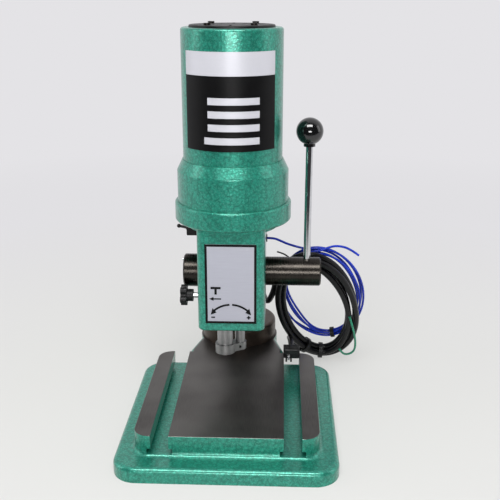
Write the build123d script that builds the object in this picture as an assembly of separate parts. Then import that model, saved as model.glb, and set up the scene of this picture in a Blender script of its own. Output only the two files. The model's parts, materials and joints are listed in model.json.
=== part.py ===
from build123d import *
import math
import os

# Bench paper drill: T-slot base, round column, cast head with a rack-fed quill,
# gear housing and vertical motor, depth dial, and its two coiled leads.
#
# Millimetres. X to the operator's right, Y away from the operator, Z up.
# The origin is the centre of the base's underside.

os.makedirs("parts", exist_ok=True)

# ---- clearances --------------------------------------------------------------
RUN_FIT = 0.03        # radial, between a turning or sliding piece and its bore
SEAT_FIT = 0.02       # radial, between two pieces of one body
AIR = 0.3             # between faces that pass each other
BACKLASH = 0.10       # taken off the tooth thickness of each gear pair

# ---- base casting ------------------------------------------------------------
BASE_WIDTH = 234.0
BASE_LENGTH = 342.0
FLANGE_REAR_STEP = 18.0
FLANGE_THICK = 16.0
FLANGE_CORNER = 26.0
FLANGE_EDGE = 5.0
TABLE_HEIGHT = 39.0
TABLE_WIDTH = 194.0
TABLE_FRONT_STEP = 26.0
TABLE_LENGTH = 204.0
TABLE_CORNER = 17.0
TABLE_EDGE = 1.0
TABLE_FOOT = 5.0      # fillet where the table meets the flange
SLOT_INNER = 59.5     # from the centre line to the near wall of a T-slot
SLOT_WIDTH = 19.0
SLOT_DEPTH = 21.0
SLOT_UNDERCUT = 4.0
UNDERCUT_HEIGHT = 6.0
NECK_SHOULDER = 8.0   # straight stretch of the neck behind the table
NECK_CORNER = 22.0
NECK_EDGE = 6.5

# ---- column ------------------------------------------------------------------
COLUMN_R = 26.0
COLUMN_WALL = 5.0
COLUMN_TOP_STAND = 4.5      # column above the arm
COLUMN_FLANGE_R = 48.0
COLUMN_FLANGE_H = 23.0
COLUMN_FLANGE_EDGE = 4.0
BOSS_R = 50.0               # base boss under the column flange
FLANGE_SCREW_R = 3.0
FLANGE_SCREW_HEAD_R = 5.0
FLANGE_SCREW_HEAD_H = 6.0
FLANGE_SCREW_REACH = 18.0
COLUMN_CAP_H = 3.5
COLUMN_CAP_SPIGOT = 8.0

# ---- head casting ------------------------------------------------------------
HEAD_HALF_WIDTH = 37.0
HEAD_FRONT = -49.0
HEAD_REAR = 30.0
HEAD_BOTTOM = 115.0
HEAD_TOP = 231.5
HEAD_CORNER = 9.0
HEAD_EDGE = 2.0
ARM_HALF_WIDTH = 35.0
ARM_FRONT_GAP = 1.5         # between the arm's front and the dial's rim
ARM_BOTTOM = 178.0
ARM_EDGE = 14.0
HEAD_FLANGE_R = 51.0
HEAD_FLANGE_H = 7.0
CLAMP_R = 36.0
CLAMP_BOTTOM = 172.0
CLAMP_SLIT = 4.0
CLAMP_LUG_HALF = 16.0
CLAMP_LUG_REAR = 4.0        # lug beyond the clamp's outside
CLAMP_BOLT_R = 4.0
CLAMP_BOLT_HEAD_R = 6.5
CLAMP_BOLT_HEAD_H = 8.0
CLAMP_BOLT_INSET = 9.0      # bolt line ahead of the lugs' rear face
CLAMP_BOLT_END = 18.0       # bolt line from the clamp's top and bottom
GLAND_BOSS_R = 8.5
GLAND_BOSS_H = 10.0
GLAND_BOSS_X = 25.0
GLAND_BOSS_Y = 29.0         # behind the column's axis

# ---- quill, spindle and feed -------------------------------------------------
QUILL_X = -9.0
QUILL_Y = -15.0
QUILL_R = 12.0
QUILL_BORE_R = 7.0
NOSE_R = 9.0
NOSE_BOTTOM = 75.0
QUILL_STEP_Z = 120.0
QUILL_TOP_GAP = 3.5         # from the spindle nut to the drive gear's sleeve
STROKE = 20.0
SPINDLE_R = 5.0
SPINDLE_STAND = 2.0         # spindle end below the quill's nose
SPINDLE_TOP_STAND = 15.0    # above the drive gear
SOCKET_R = 3.0
SOCKET_DEPTH = 25.0
BUSH_LENGTH = 14.0
NUT_R = 8.0
NUT_H = 5.0
RACK_MODULE = 1.0
FEED_TEETH = 24
FEED_WIDTH = 14.0
FEED_SHAFT_R = 7.0
FEED_SHAFT_REACH = 25.0     # shaft inside the lever hub
FEED_LEFT_BUSH_R = 10.0
FEED_BUSH_CLEAR = 3.0       # from the pinion to its right bush, past the quill
HUB_Z = 166.7
RACK_BELOW = 3              # rack grooves below and above the pinion at rest
RACK_ABOVE = 10

# ---- depth collar and rod ----------------------------------------------------
COLLAR_R = 11.3
COLLAR_H = 11.0
COLLAR_LUG_H = 9.0
COLLAR_LUG_R = 7.4
ROD_X = 7.5
ROD_Y = -4.5
ROD_R = 5.8
ROD_SPIGOT_R = 3.0
ROD_TOP = 146.0
ROD_BUSH_R = 7.0
ROD_BUSH_STAND = 2.5
ROD_BUSH_SEAT = 6.0
COLLAR_SCREW_R = 2.0

# ---- lever -------------------------------------------------------------------
LEVER_HUB_R = 16.5
LEVER_HUB_END = 100.0
LEVER_HUB_EDGE = 1.6
LEVER_X = 84.0
LEVER_ROD_R = 4.0
LEVER_REACH = 162.0         # hub axis to ball centre
LEVER_SEAT = 14.0           # rod inside the hub
BALL_R = 15.0
BALL_NECK_R = 6.5
BALL_NECK_STAND = 1.5
BALL_SEAT = 12.0
HUB_SCREW_X = 49.0
HUB_SCREW_R = 2.5
HUB_SCREW_ANGLE = 35.0      # below the front horizontal, degrees
FEED_DEGREES = 90.0

# ---- depth dial, lock knob, switch -------------------------------------------
DIAL_R = 19.0
DIAL_LENGTH = 19.7
DIAL_WALL = 3.6
DIAL_EDGE = 1.5
DIAL_BOSS_R = 12.0
DIAL_SCREW_R = 2.5
DIAL_SCREW_HEAD_R = 4.2
DIAL_SCREW_HEAD_H = 2.0
DIAL_PIN_R = 1.2
DIAL_PIN_STAND = 2.0
DIAL_PIN_OFFSET = 13.0
LOCK_Z = 144.3
LOCK_STUD_R = 3.0
LOCK_STUD_STAND = 8.0
LOCK_HUB_R = 7.0
LOCK_HUB_L = 7.0
LOCK_DISC_L = 7.0
LOCK_CORE_R = 8.0
LOCK_LOBE_R = 4.0
LOCK_LOBE_PITCH_R = 8.3
LOCK_LOBES = 5
LOCK_SEAT = 10.0
SWITCH_Y = 36.0
SWITCH_DROP = 22.5          # switch axis below the head's top
SWITCH_SIZE = (14.0, 15.0, 14.0)
SWITCH_STAND = 7.5
SWITCH_NECK_R = 5.0
TOGGLE_R = 1.6
TOGGLE_TIP_R = 2.4
TOGGLE_REACH = 8.0
TOGGLE_PIVOT_R = 3.4
TOGGLE_PIN_R = 1.0
TOGGLE_PIN_HALF = 6.0
TOGGLE_TILT = 12.0

# ---- gear housing and drive --------------------------------------------------
GEAR_MODULE = 0.8
MOTOR_TEETH = 20
SPINDLE_TEETH = 35
GEAR_WIDTH = 12.0
GEAR_STAND = 2.5            # above the bearing boss
RIM_R = 64.8
RIM_H = 21.5
RIM_EDGE = 2.5
BELL_R = 61.5
BELL_H = 56.0               # housing's straight side, from the head's top
CONE_H = 12.0
CONE_TOP_R = 55.6
HOUSING_WALL = 5.0
HOUSING_FLOOR_R = 39.5
HOUSING_TOP_R = 40.0
HOUSING_SCREW_R = 2.5
HOUSING_SCREW_HEAD_R = 4.2
HOUSING_SCREW_HEAD_H = 5.0
HOUSING_SCREW_PITCH_R = 45.5
HOUSING_SCREWS = 6
SLEEVE_R = 8.0
SLEEVE_DROP = 15.0          # drive gear's sleeve below the head's top
GEAR_HUB_R = 10.0
BEARING_R = 12.0
BEARING_H = 7.0
BEARING_BOSS_R = 16.0
BEARING_BOSS_H = 7.0
DRIVE_HEX_R = 4.8

# ---- motor -------------------------------------------------------------------
MOTOR_R = 54.5
MOTOR_WALL = 3.5
MOTOR_H = 139.0
MOTOR_EDGE = 3.0
MOTOR_DECK = 3.0            # casing's top plate
MOTOR_LIP = 5.5             # casing's rim above that plate
MOTOR_LIP_R = 46.0
MOTOR_DECK_BORE_R = 26.0
END_CAP_STAND = 2.5
END_CAP_SPIGOT = 9.0
END_CAP_SLOTS = 12
END_CAP_SLOT_W = 3.0
END_CAP_SLOT_IN = 20.0
END_CAP_SLOT_OUT = 40.0
END_CAP_SLOT_DEPTH = 3.0
END_CAP_SCREW_PITCH_R = 34.0
END_CAP_SCREW_R = 2.0
END_CAP_SCREW_HEAD_R = 3.6
END_CAP_SCREW_HEAD_H = 2.2
END_CAP_SCREW_REACH = 10.0
SHIELD_THICK = 7.5
SHIELD_BOSS_R = 16.0
SHIELD_BOSS_DROP = 8.5
MOTOR_BEARING_R = 11.0
MOTOR_BEARING_H = 7.0
SHIELD_SCREW_R = 2.0
SHIELD_SCREW_HEAD_R = 3.6
SHIELD_SCREW_HEAD_H = 4.0
SHIELD_SCREW_PITCH_R = 45.0
SHAFT_R = 5.0
SHAFT_TOP_GAP = 2.0
ROTOR_R = 28.0
ROTOR_GAP = 0.6
CORE_STAND = 25.5           # stator and rotor above the casing's foot
CORE_HEIGHT = 67.0
WINDING_IN = 31.0
WINDING_OUT = 46.0
WINDING_H = 11.0
FAN_R = 42.0
FAN_H = 12.0
FAN_GAP = 16.0              # above the core
FAN_DISC = 2.0
FAN_HUB_R = 9.0
FAN_BLADES = 8
FAN_BLADE_T = 2.0

# ---- plates ------------------------------------------------------------------
NAMEPLATE_HALF_ANGLE = 56.0
NAMEPLATE_STAND = 16.5      # above the casing's foot
NAMEPLATE_H = 100.5
PLATE_THICK = 0.8
DEPTH_PLATE_W = 56.2
DEPTH_PLATE_LOW_GAP = 9.8      # from the head's underside to the plate
DEPTH_PLATE_TOP_GAP = 15.3     # from the plate to the gear housing
DEPTH_PLATE_CORNER = 1.5

# ---- leads -------------------------------------------------------------------
CABLE_R = 3.75
CABLE_BUNDLE_R = 9.0
CABLE_COIL_X = 99.0
CABLE_COIL_HALF_W = 45.0
CABLE_COIL_HALF_L = 94.0
CABLE_COIL_ROLL = 10.0      # coil's long axis from upright, its top to the left, degrees
CABLE_COIL_FOOT_Y = 128.0
WIRE_R = 1.4
WIRE_BUNDLE_R = 5.5
WIRE_COIL_X = 109.0
WIRE_COIL_HALF_W = 47.0
WIRE_COIL_HALF_L = 80.0
WIRE_COIL_ROLL = 10.0
WIRE_COIL_CENTRE = 101.0
GLAND_R = 5.8
GLAND_L = 18.0
GLAND_NUT_R = 6.4
GLAND_NUT_L = 5.0
GROMMET_R = 4.5
GROMMET_L = 3.0
GROMMET_DROP = 34.5         # grommet's axis below the head's top
GROMMET_BACK = 33.0         # and behind the motor's axis
CONNECTOR_SIZE = (23.0, 18.0, 14.0)
TIE_WIDTH = 5.0
TIE_WALL = 1.4

# ---- places that follow from those sizes --------------------------------------
BASE_FRONT = -BASE_LENGTH / 2
COLUMN_Y = BASE_LENGTH / 2 - BOSS_R
DEPTH_PLATE_LOW = HEAD_BOTTOM + DEPTH_PLATE_LOW_GAP
DEPTH_PLATE_H = HEAD_TOP - DEPTH_PLATE_TOP_GAP - DEPTH_PLATE_LOW
TABLE_FRONT = BASE_FRONT + TABLE_FRONT_STEP
TABLE_REAR = TABLE_FRONT + TABLE_LENGTH
FLANGE_LENGTH = TABLE_FRONT_STEP + TABLE_LENGTH + FLANGE_REAR_STEP
SLOT_OUTER = SLOT_INNER + SLOT_WIDTH
SLOT_FLOOR = TABLE_HEIGHT - SLOT_DEPTH
COLUMN_TOP = HEAD_TOP + COLUMN_TOP_STAND
SWITCH_Z = HEAD_TOP - SWITCH_DROP
SLEEVE_BOTTOM = HEAD_TOP - SLEEVE_DROP
QUILL_TOP = SLEEVE_BOTTOM - NUT_H - QUILL_TOP_GAP
BEARING_BOSS_TOP = HEAD_TOP + BEARING_BOSS_H
GEAR_Z = BEARING_BOSS_TOP + GEAR_STAND
SPINDLE_TOP = GEAR_Z + GEAR_WIDTH + SPINDLE_TOP_STAND
BELL_TOP = HEAD_TOP + BELL_H
CONE_TOP = BELL_TOP + CONE_H
MOTOR_TOP = CONE_TOP + MOTOR_H
CORE_BOTTOM = CONE_TOP + CORE_STAND
FAN_BOTTOM = CORE_BOTTOM + CORE_HEIGHT + FAN_GAP
NAMEPLATE_BOTTOM = CONE_TOP + NAMEPLATE_STAND
NAMEPLATE_TOP = NAMEPLATE_BOTTOM + NAMEPLATE_H
GEAR_CENTRES = GEAR_MODULE * (MOTOR_TEETH + SPINDLE_TEETH) / 2
MOTOR_Y = QUILL_Y + math.sqrt(GEAR_CENTRES ** 2 - QUILL_X ** 2)
FEED_PITCH_R = RACK_MODULE * FEED_TEETH / 2
HUB_Y = QUILL_Y + QUILL_R - RACK_MODULE + FEED_PITCH_R
ARM_FRONT = HUB_Y + DIAL_R + ARM_FRONT_GAP
CHAMBER_R = FEED_PITCH_R + 2 * RACK_MODULE
FEED_LEFT = QUILL_X - FEED_WIDTH / 2
FEED_RIGHT = QUILL_X + FEED_WIDTH / 2
QUILL = (QUILL_X, QUILL_Y)
MOTOR = (0.0, MOTOR_Y)
COLUMN = (0.0, COLUMN_Y)
RIM_TOP = HEAD_TOP + RIM_H
SHIELD_TOP = CONE_TOP + SHIELD_THICK
DECK_TOP = MOTOR_TOP - MOTOR_LIP
END_CAP_TOP = MOTOR_TOP + END_CAP_STAND
BALL_Z = HUB_Z + LEVER_REACH
DIAL_IN = -HEAD_HALF_WIDTH - AIR
DIAL_OUT = DIAL_IN - DIAL_LENGTH
SHIELD_BEARING_Z = CONE_TOP - SHIELD_BOSS_DROP + 1.5
CAP_BEARING_Z = DECK_TOP - END_CAP_SPIGOT
UP = (Align.CENTER, Align.CENTER, Align.MIN)


# ---- building blocks ----------------------------------------------------------
def disc(radius, low, high, at=(0.0, 0.0)):
    """Upright cylinder between two heights."""
    return Pos(at[0], at[1], low) * Cylinder(radius, high - low, align=UP)


def ring(outer, inner, low, high, at=(0.0, 0.0)):
    return disc(outer, low, high, at) - disc(inner, low - 1, high + 1, at)


def block(x0, x1, y0, y1, z0, z1):
    centre = Pos((x0 + x1) / 2, (y0 + y1) / 2, (z0 + z1) / 2)
    return centre * Box(abs(x1 - x0), abs(y1 - y0), abs(z1 - z0))


def bar_x(radius, x0, x1, y, z):
    """Cylinder along X."""
    return Pos(min(x0, x1), y, z) * Rot(0, 90, 0) * Cylinder(radius, abs(x1 - x0), align=UP)


def bar_y(radius, y0, y1, x, z):
    """Cylinder along Y."""
    return Pos(x, max(y0, y1), z) * Rot(90, 0, 0) * Cylinder(radius, abs(y1 - y0), align=UP)


def around(at, radius, count, start=0.0):
    """Points evenly spaced on a circle."""
    for i in range(count):
        turn = math.radians(start + 360.0 * i / count)
        yield at[0] + radius * math.cos(turn), at[1] + radius * math.sin(turn)


def spun(profile, at):
    """Solid of revolution from (radius, height) points."""
    face = make_face(Polyline(*[(r, 0, z) for r, z in profile], close=True))
    return Pos(at[0], at[1], 0) * revolve(face, Axis.Z)


def gear_outline(module, teeth, phase):
    """Closed involute outline with a tooth at the angle phase, in degrees."""
    pitch_r = module * teeth / 2
    base_r = pitch_r * math.cos(math.radians(20))
    tip_r, root_r = pitch_r + module, pitch_r - 1.25 * module
    inv = math.tan(math.radians(20)) - math.radians(20)
    half = (math.pi * module / 2 - BACKLASH) / (2 * pitch_r) + inv
    steps = 4
    flank = []
    for i in range(steps + 1):
        radius = max(base_r, root_r) + (tip_r - max(base_r, root_r)) * i / steps
        roll = math.acos(min(1.0, base_r / radius))
        flank.append((radius, half - (math.tan(roll) - roll)))
    if root_r < base_r:
        flank.insert(0, (root_r, half))
    points = []
    for tooth in range(teeth):
        middle = math.radians(phase) + 2 * math.pi * tooth / teeth
        for radius, turn in flank:
            points.append((radius * math.cos(middle - turn), radius * math.sin(middle - turn)))
        for radius, turn in reversed(flank):
            points.append((radius * math.cos(middle + turn), radius * math.sin(middle + turn)))
    return make_face(Polyline(*points, close=True))


def cap_screw(radius, head_r, head_h, reach, at, seat_z, socket_r):
    """Socket-head screw pointing down, its head standing on seat_z."""
    x, y = at
    screw = disc(head_r, seat_z, seat_z + head_h, at) + disc(radius, seat_z - reach, seat_z, at)
    hexagon = Pos(x, y, seat_z + head_h * 0.45) * extrude(RegularPolygon(socket_r, 6), head_h)
    return screw - hexagon


def tube(radius, points, name):
    """Straight runs joined by the largest tangent arcs that two runs allow."""
    vectors = [Vector(*p) for p in points]
    runs = [b - a for a, b in zip(vectors, vectors[1:])]
    radii = []
    for first, second in zip(runs, runs[1:]):
        half_turn = math.radians(first.get_angle(second)) / 2
        radii.append(0.45 * min(first.length, second.length) / math.tan(half_turn))
    path = FilletPolyline(*points, radius=radii)
    solid = sweep(Plane(path @ 0, z_dir=path % 0) * Circle(radius), path)
    expected = math.pi * radius ** 2 * path.length
    print(f"{name}: {path.length:.0f} mm, radii {[round(r) for r in radii]},"
          f" volume {solid.volume / expected:.4f} of section times length")
    return solid


# ---- base and column ----------------------------------------------------------
def make_base():
    flange_y = BASE_FRONT + FLANGE_LENGTH / 2
    flange = extrude(Pos(0, flange_y) * RectangleRounded(BASE_WIDTH, FLANGE_LENGTH, FLANGE_CORNER), FLANGE_THICK)
    flange = fillet(flange.edges().group_by(Axis.Z)[-1], FLANGE_EDGE)
    table_y = (TABLE_FRONT + TABLE_REAR) / 2
    table = extrude(Pos(0, table_y) * RectangleRounded(TABLE_WIDTH, TABLE_LENGTH, TABLE_CORNER), TABLE_HEIGHT)
    table = fillet(table.edges().group_by(Axis.Z)[-1], TABLE_EDGE)
    body = flange + table
    # On the flange's top face, the inner loop is the table's foot
    foot = body.faces().filter_by(Axis.Z).sort_by(Axis.Z)[-2].inner_wires()[0].edges()
    body = fillet(foot, TABLE_FOOT)
    shoulder_y = TABLE_REAR + NECK_SHOULDER
    neck_points = [(-SLOT_INNER, table_y), (-SLOT_INNER, shoulder_y), (-COLUMN_FLANGE_R, COLUMN_Y - 10),
                   (-COLUMN_FLANGE_R, COLUMN_Y), (COLUMN_FLANGE_R, COLUMN_Y),
                   (COLUMN_FLANGE_R, COLUMN_Y - 10), (SLOT_INNER, shoulder_y), (SLOT_INNER, table_y)]
    neck = make_face(Polyline(*neck_points, close=True))
    shoulders = [v for v in neck.vertices() if abs(v.Y - shoulder_y) < 0.01]
    neck = extrude(fillet(shoulders, NECK_CORNER), TABLE_HEIGHT)
    neck_sides = [e for e in neck.edges().group_by(Axis.Z)[-1] if abs(e.center().X) > COLUMN_R]
    neck = fillet(neck_sides, NECK_EDGE)
    base = body + neck + disc(BOSS_R, 0, TABLE_HEIGHT, COLUMN)
    for side in (-1, 1):
        base -= block(side * SLOT_INNER, side * SLOT_OUTER, TABLE_FRONT - TABLE_FOOT, shoulder_y + 40,
                      SLOT_FLOOR, TABLE_HEIGHT + 1)
        base -= block(side * (SLOT_INNER - SLOT_UNDERCUT), side * (SLOT_OUTER + SLOT_UNDERCUT),
                      TABLE_FRONT - TABLE_FOOT, TABLE_REAR + TABLE_FOOT / 2,
                      SLOT_FLOOR, SLOT_FLOOR + UNDERCUT_HEIGHT)
    for x, y in flange_screw_places():
        base -= disc(FLANGE_SCREW_R + SEAT_FIT, flange_screw_tip() - 1, TABLE_HEIGHT + 1, (x, y))
    return base


def flange_screw_places():
    middle_r = (COLUMN_R + COLUMN_FLANGE_R) / 2
    return list(around(COLUMN, middle_r, 4, 45))


def flange_screw_seat():
    return TABLE_HEIGHT + COLUMN_FLANGE_H - FLANGE_SCREW_HEAD_H - 1.0


def flange_screw_tip():
    return TABLE_HEIGHT - FLANGE_SCREW_REACH


def make_column_flange():
    top = TABLE_HEIGHT + COLUMN_FLANGE_H
    flange = disc(COLUMN_FLANGE_R, TABLE_HEIGHT, top, COLUMN)
    flange = fillet(flange.edges().group_by(Axis.Z)[-1], COLUMN_FLANGE_EDGE)
    flange -= disc(COLUMN_R + SEAT_FIT, TABLE_HEIGHT - 1, top + 1, COLUMN)
    for place in flange_screw_places():
        flange -= disc(FLANGE_SCREW_R + SEAT_FIT, TABLE_HEIGHT - 1, top, place)
        flange -= disc(FLANGE_SCREW_HEAD_R + AIR, flange_screw_seat(), top + 1, place)
    return flange


def make_column_flange_screws():
    reach = flange_screw_seat() - flange_screw_tip()
    return [cap_screw(FLANGE_SCREW_R, FLANGE_SCREW_HEAD_R, FLANGE_SCREW_HEAD_H, reach,
                      place, flange_screw_seat(), FLANGE_SCREW_R * 0.9) for place in flange_screw_places()]


def make_column_tube():
    return ring(COLUMN_R, COLUMN_R - COLUMN_WALL, TABLE_HEIGHT, COLUMN_TOP, COLUMN)


def make_column_cap():
    cap = disc(COLUMN_R, COLUMN_TOP, COLUMN_TOP + COLUMN_CAP_H, COLUMN)
    cap = fillet(cap.edges().group_by(Axis.Z)[-1], COLUMN_CAP_H / 3)
    return cap + disc(COLUMN_R - COLUMN_WALL - SEAT_FIT, COLUMN_TOP - COLUMN_CAP_SPIGOT, COLUMN_TOP, COLUMN)


# ---- head casting --------------------------------------------------------------
def clamp_bolt_y():
    return COLUMN_Y + CLAMP_R + CLAMP_LUG_REAR - CLAMP_BOLT_INSET


def clamp_bolt_heights():
    return (CLAMP_BOTTOM + CLAMP_BOLT_END, HEAD_TOP - CLAMP_BOLT_END)


def housing_screw_places():
    return list(around(MOTOR, HOUSING_SCREW_PITCH_R, HOUSING_SCREWS, 30))


def gland_place():
    """Centre of the cable gland, under its boss on the rear of the clamp."""
    return GLAND_BOSS_X, COLUMN_Y + GLAND_BOSS_Y


def grommet_place():
    return ARM_HALF_WIDTH, MOTOR_Y + GROMMET_BACK, HEAD_TOP - GROMMET_DROP


def make_head_casting():
    head = block(-HEAD_HALF_WIDTH, HEAD_HALF_WIDTH, HEAD_FRONT, HEAD_REAR, HEAD_BOTTOM, HEAD_TOP)
    head = fillet(head.edges().filter_by(Axis.Z), HEAD_CORNER)
    head = fillet(head.edges().group_by(Axis.Z)[0], HEAD_EDGE)
    arm = block(-ARM_HALF_WIDTH, ARM_HALF_WIDTH, ARM_FRONT, COLUMN_Y, ARM_BOTTOM, HEAD_TOP)
    arm = fillet(arm.edges().group_by(Axis.Z)[0].filter_by(Axis.Y), ARM_EDGE)
    head += arm + disc(CLAMP_R, CLAMP_BOTTOM, HEAD_TOP, COLUMN)
    head += disc(GLAND_BOSS_R, CLAMP_BOTTOM, CLAMP_BOTTOM + GLAND_BOSS_H, gland_place())
    head += block(-CLAMP_LUG_HALF, CLAMP_LUG_HALF, COLUMN_Y, COLUMN_Y + CLAMP_R + CLAMP_LUG_REAR,
                  CLAMP_BOTTOM, HEAD_TOP)
    head += disc(HEAD_FLANGE_R, HEAD_TOP - HEAD_FLANGE_H, HEAD_TOP, MOTOR)
    head += disc(BEARING_BOSS_R, HEAD_TOP, BEARING_BOSS_TOP, QUILL)
    head += bar_x(DIAL_BOSS_R, -HEAD_HALF_WIDTH, DIAL_OUT + DIAL_WALL + AIR, HUB_Y, HUB_Z)
    # column bore, clamp slit and bolt holes
    head -= disc(COLUMN_R + SEAT_FIT, CLAMP_BOTTOM - 1, HEAD_TOP + 1, COLUMN)
    head -= block(-CLAMP_SLIT / 2, CLAMP_SLIT / 2, COLUMN_Y, COLUMN_Y + CLAMP_R + CLAMP_LUG_REAR + 1,
                  CLAMP_BOTTOM - 1, HEAD_TOP + 1)
    for z in clamp_bolt_heights():
        head -= bar_x(CLAMP_BOLT_R + SEAT_FIT, -CLAMP_LUG_HALF - 1, CLAMP_LUG_HALF + 1, clamp_bolt_y(), z)
        for side in (-1, 1):
            head -= bar_x(CLAMP_BOLT_HEAD_R + AIR, side * CLAMP_LUG_HALF, side * CLAMP_R, clamp_bolt_y(), z)
    # quill, its drive and the depth rod
    head -= disc(QUILL_R + RUN_FIT, HEAD_BOTTOM - 1, SLEEVE_BOTTOM, QUILL)
    head -= disc(BEARING_R + SEAT_FIT, SLEEVE_BOTTOM - 1, BEARING_BOSS_TOP + 1, QUILL)
    head -= disc(ROD_R + 1, HEAD_BOTTOM - 1, ROD_TOP + 1, (ROD_X, ROD_Y))
    head -= disc(ROD_BUSH_R + SEAT_FIT, HEAD_BOTTOM - 1, HEAD_BOTTOM + ROD_BUSH_SEAT, (ROD_X, ROD_Y))
    # feed shaft, its bushes, the lock stud and the dial screw
    head -= bar_x(CHAMBER_R, FEED_LEFT - AIR, HEAD_HALF_WIDTH + 1, HUB_Y, HUB_Z)
    head -= bar_x(FEED_LEFT_BUSH_R + SEAT_FIT, -HEAD_HALF_WIDTH + 1, FEED_LEFT, HUB_Y, HUB_Z)
    head -= bar_x(LOCK_STUD_R + RUN_FIT, -HEAD_HALF_WIDTH - 1, QUILL_X, QUILL_Y, LOCK_Z)
    head -= bar_x(DIAL_SCREW_R + SEAT_FIT, DIAL_OUT, DIAL_OUT + DIAL_WALL + 12, HUB_Y, HUB_Z)
    for place in housing_screw_places():
        head -= disc(HOUSING_SCREW_R + SEAT_FIT, HEAD_TOP - HEAD_FLANGE_H - 1, HEAD_TOP + 1, place)
    gx, gy, gz = grommet_place()
    head -= bar_x(GROMMET_R * 0.7, gx - GROMMET_L, gx + 1, gy, gz)
    head -= disc(GLAND_R * 0.7, CLAMP_BOTTOM - 1, CLAMP_BOTTOM + 6, gland_place())
    return head


def make_column_clamp_bolts():
    bolts = []
    for z in clamp_bolt_heights():
        y = clamp_bolt_y()
        bolt = bar_x(CLAMP_BOLT_R, -CLAMP_LUG_HALF - 6, CLAMP_LUG_HALF, y, z)
        bolt += bar_x(CLAMP_BOLT_HEAD_R, CLAMP_LUG_HALF, CLAMP_LUG_HALF + CLAMP_BOLT_HEAD_H, y, z)
        socket = Pos(CLAMP_LUG_HALF + CLAMP_BOLT_HEAD_H / 2, y, z) * Rot(0, 90, 0)
        bolt -= socket * extrude(RegularPolygon(CLAMP_BOLT_R * 0.9, 6), CLAMP_BOLT_HEAD_H)
        nut = Pos(-CLAMP_LUG_HALF, y, z) * Rot(0, -90, 0) * extrude(RegularPolygon(CLAMP_BOLT_HEAD_R, 6), 5)
        bolts.append(bolt + nut)
    return bolts


def make_depth_plate():
    plate = Plane.XZ.offset(-HEAD_FRONT) * Pos(0, DEPTH_PLATE_LOW + DEPTH_PLATE_H / 2) * RectangleRounded(
        DEPTH_PLATE_W, DEPTH_PLATE_H, DEPTH_PLATE_CORNER)
    return extrude(plate, PLATE_THICK)


# ---- gear housing and drive ----------------------------------------------------
def make_gear_housing():
    floor = HEAD_TOP + HOUSING_WALL
    inside = BELL_R - HOUSING_WALL
    profile = [(HOUSING_FLOOR_R, HEAD_TOP), (RIM_R, HEAD_TOP), (RIM_R, RIM_TOP), (BELL_R, RIM_TOP),
               (BELL_R, BELL_TOP), (CONE_TOP_R, CONE_TOP), (HOUSING_TOP_R, CONE_TOP),
               (HOUSING_TOP_R, CONE_TOP - HOUSING_WALL), (inside - 6, CONE_TOP - HOUSING_WALL),
               (inside, BELL_TOP - HOUSING_WALL), (inside, floor), (HOUSING_FLOOR_R, floor)]
    housing = spun(profile, MOTOR)
    rim_edges = [e for e in housing.edges().filter_by(GeomType.CIRCLE)
                 if abs(e.radius - RIM_R) < 0.01 or (abs(e.radius - BELL_R) < 0.01 and e.center().Z > RIM_TOP + 1)]
    housing = fillet(rim_edges, RIM_EDGE)
    for place in housing_screw_places():
        housing -= disc(HOUSING_SCREW_R + SEAT_FIT, HEAD_TOP - 1, floor + 1, place)
    for place in around(MOTOR, SHIELD_SCREW_PITCH_R, 4, 45):
        housing -= disc(SHIELD_SCREW_R + SEAT_FIT, CONE_TOP - HOUSING_WALL - 1, CONE_TOP + 1, place)
    return housing


def make_housing_screws():
    seat = HEAD_TOP + HOUSING_WALL
    reach = HOUSING_WALL + HEAD_FLANGE_H
    return [cap_screw(HOUSING_SCREW_R, HOUSING_SCREW_HEAD_R, HOUSING_SCREW_HEAD_H, reach,
                      place, seat, HOUSING_SCREW_R * 0.9) for place in housing_screw_places()]


def make_gear_bearings():
    inner = SLEEVE_R + RUN_FIT
    return [ring(BEARING_R, inner, SLEEVE_BOTTOM + 0.5, SLEEVE_BOTTOM + 0.5 + BEARING_H, QUILL),
            ring(BEARING_R, inner, BEARING_BOSS_TOP - BEARING_H, BEARING_BOSS_TOP, QUILL)]


def mesh_angle():
    """Direction from the motor axis to the spindle axis, degrees."""
    return math.degrees(math.atan2(QUILL_Y - MOTOR_Y, QUILL_X))


def make_motor_pinion():
    outline = gear_outline(GEAR_MODULE, MOTOR_TEETH, mesh_angle())
    pinion = extrude(Pos(MOTOR[0], MOTOR[1], GEAR_Z) * outline, GEAR_WIDTH)
    return pinion - disc(SHAFT_R + SEAT_FIT, GEAR_Z - 1, GEAR_Z + GEAR_WIDTH + 1, MOTOR)


def make_spindle_drive_gear():
    phase = mesh_angle() + 180 + 180 / SPINDLE_TEETH
    gear = extrude(Pos(QUILL_X, QUILL_Y, GEAR_Z) * gear_outline(GEAR_MODULE, SPINDLE_TEETH, phase), GEAR_WIDTH)
    gear += disc(GEAR_HUB_R, BEARING_BOSS_TOP + AIR, GEAR_Z, QUILL)
    gear += disc(SLEEVE_R, SLEEVE_BOTTOM, GEAR_Z + GEAR_WIDTH, QUILL)
    bore = Pos(QUILL_X, QUILL_Y, SLEEVE_BOTTOM - 1) * RegularPolygon(DRIVE_HEX_R + 2 * RUN_FIT, 6)
    return gear - extrude(bore, GEAR_Z + GEAR_WIDTH - SLEEVE_BOTTOM + 2)


# ---- motor ----------------------------------------------------------------------
def make_motor_casing():
    deck = DECK_TOP - MOTOR_DECK
    casing = disc(MOTOR_R, CONE_TOP, MOTOR_TOP, MOTOR)
    casing = fillet(casing.edges().group_by(Axis.Z)[-1], MOTOR_EDGE)
    casing -= disc(MOTOR_R - MOTOR_WALL, CONE_TOP - 1, deck, MOTOR)
    casing -= disc(MOTOR_DECK_BORE_R, deck - 1, MOTOR_TOP + 1, MOTOR)
    casing -= disc(MOTOR_LIP_R, DECK_TOP, MOTOR_TOP + 1, MOTOR)
    for place in end_cap_screw_places():
        casing -= disc(END_CAP_SCREW_R + SEAT_FIT, deck - 1, DECK_TOP + 1, place)
    return casing


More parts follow.
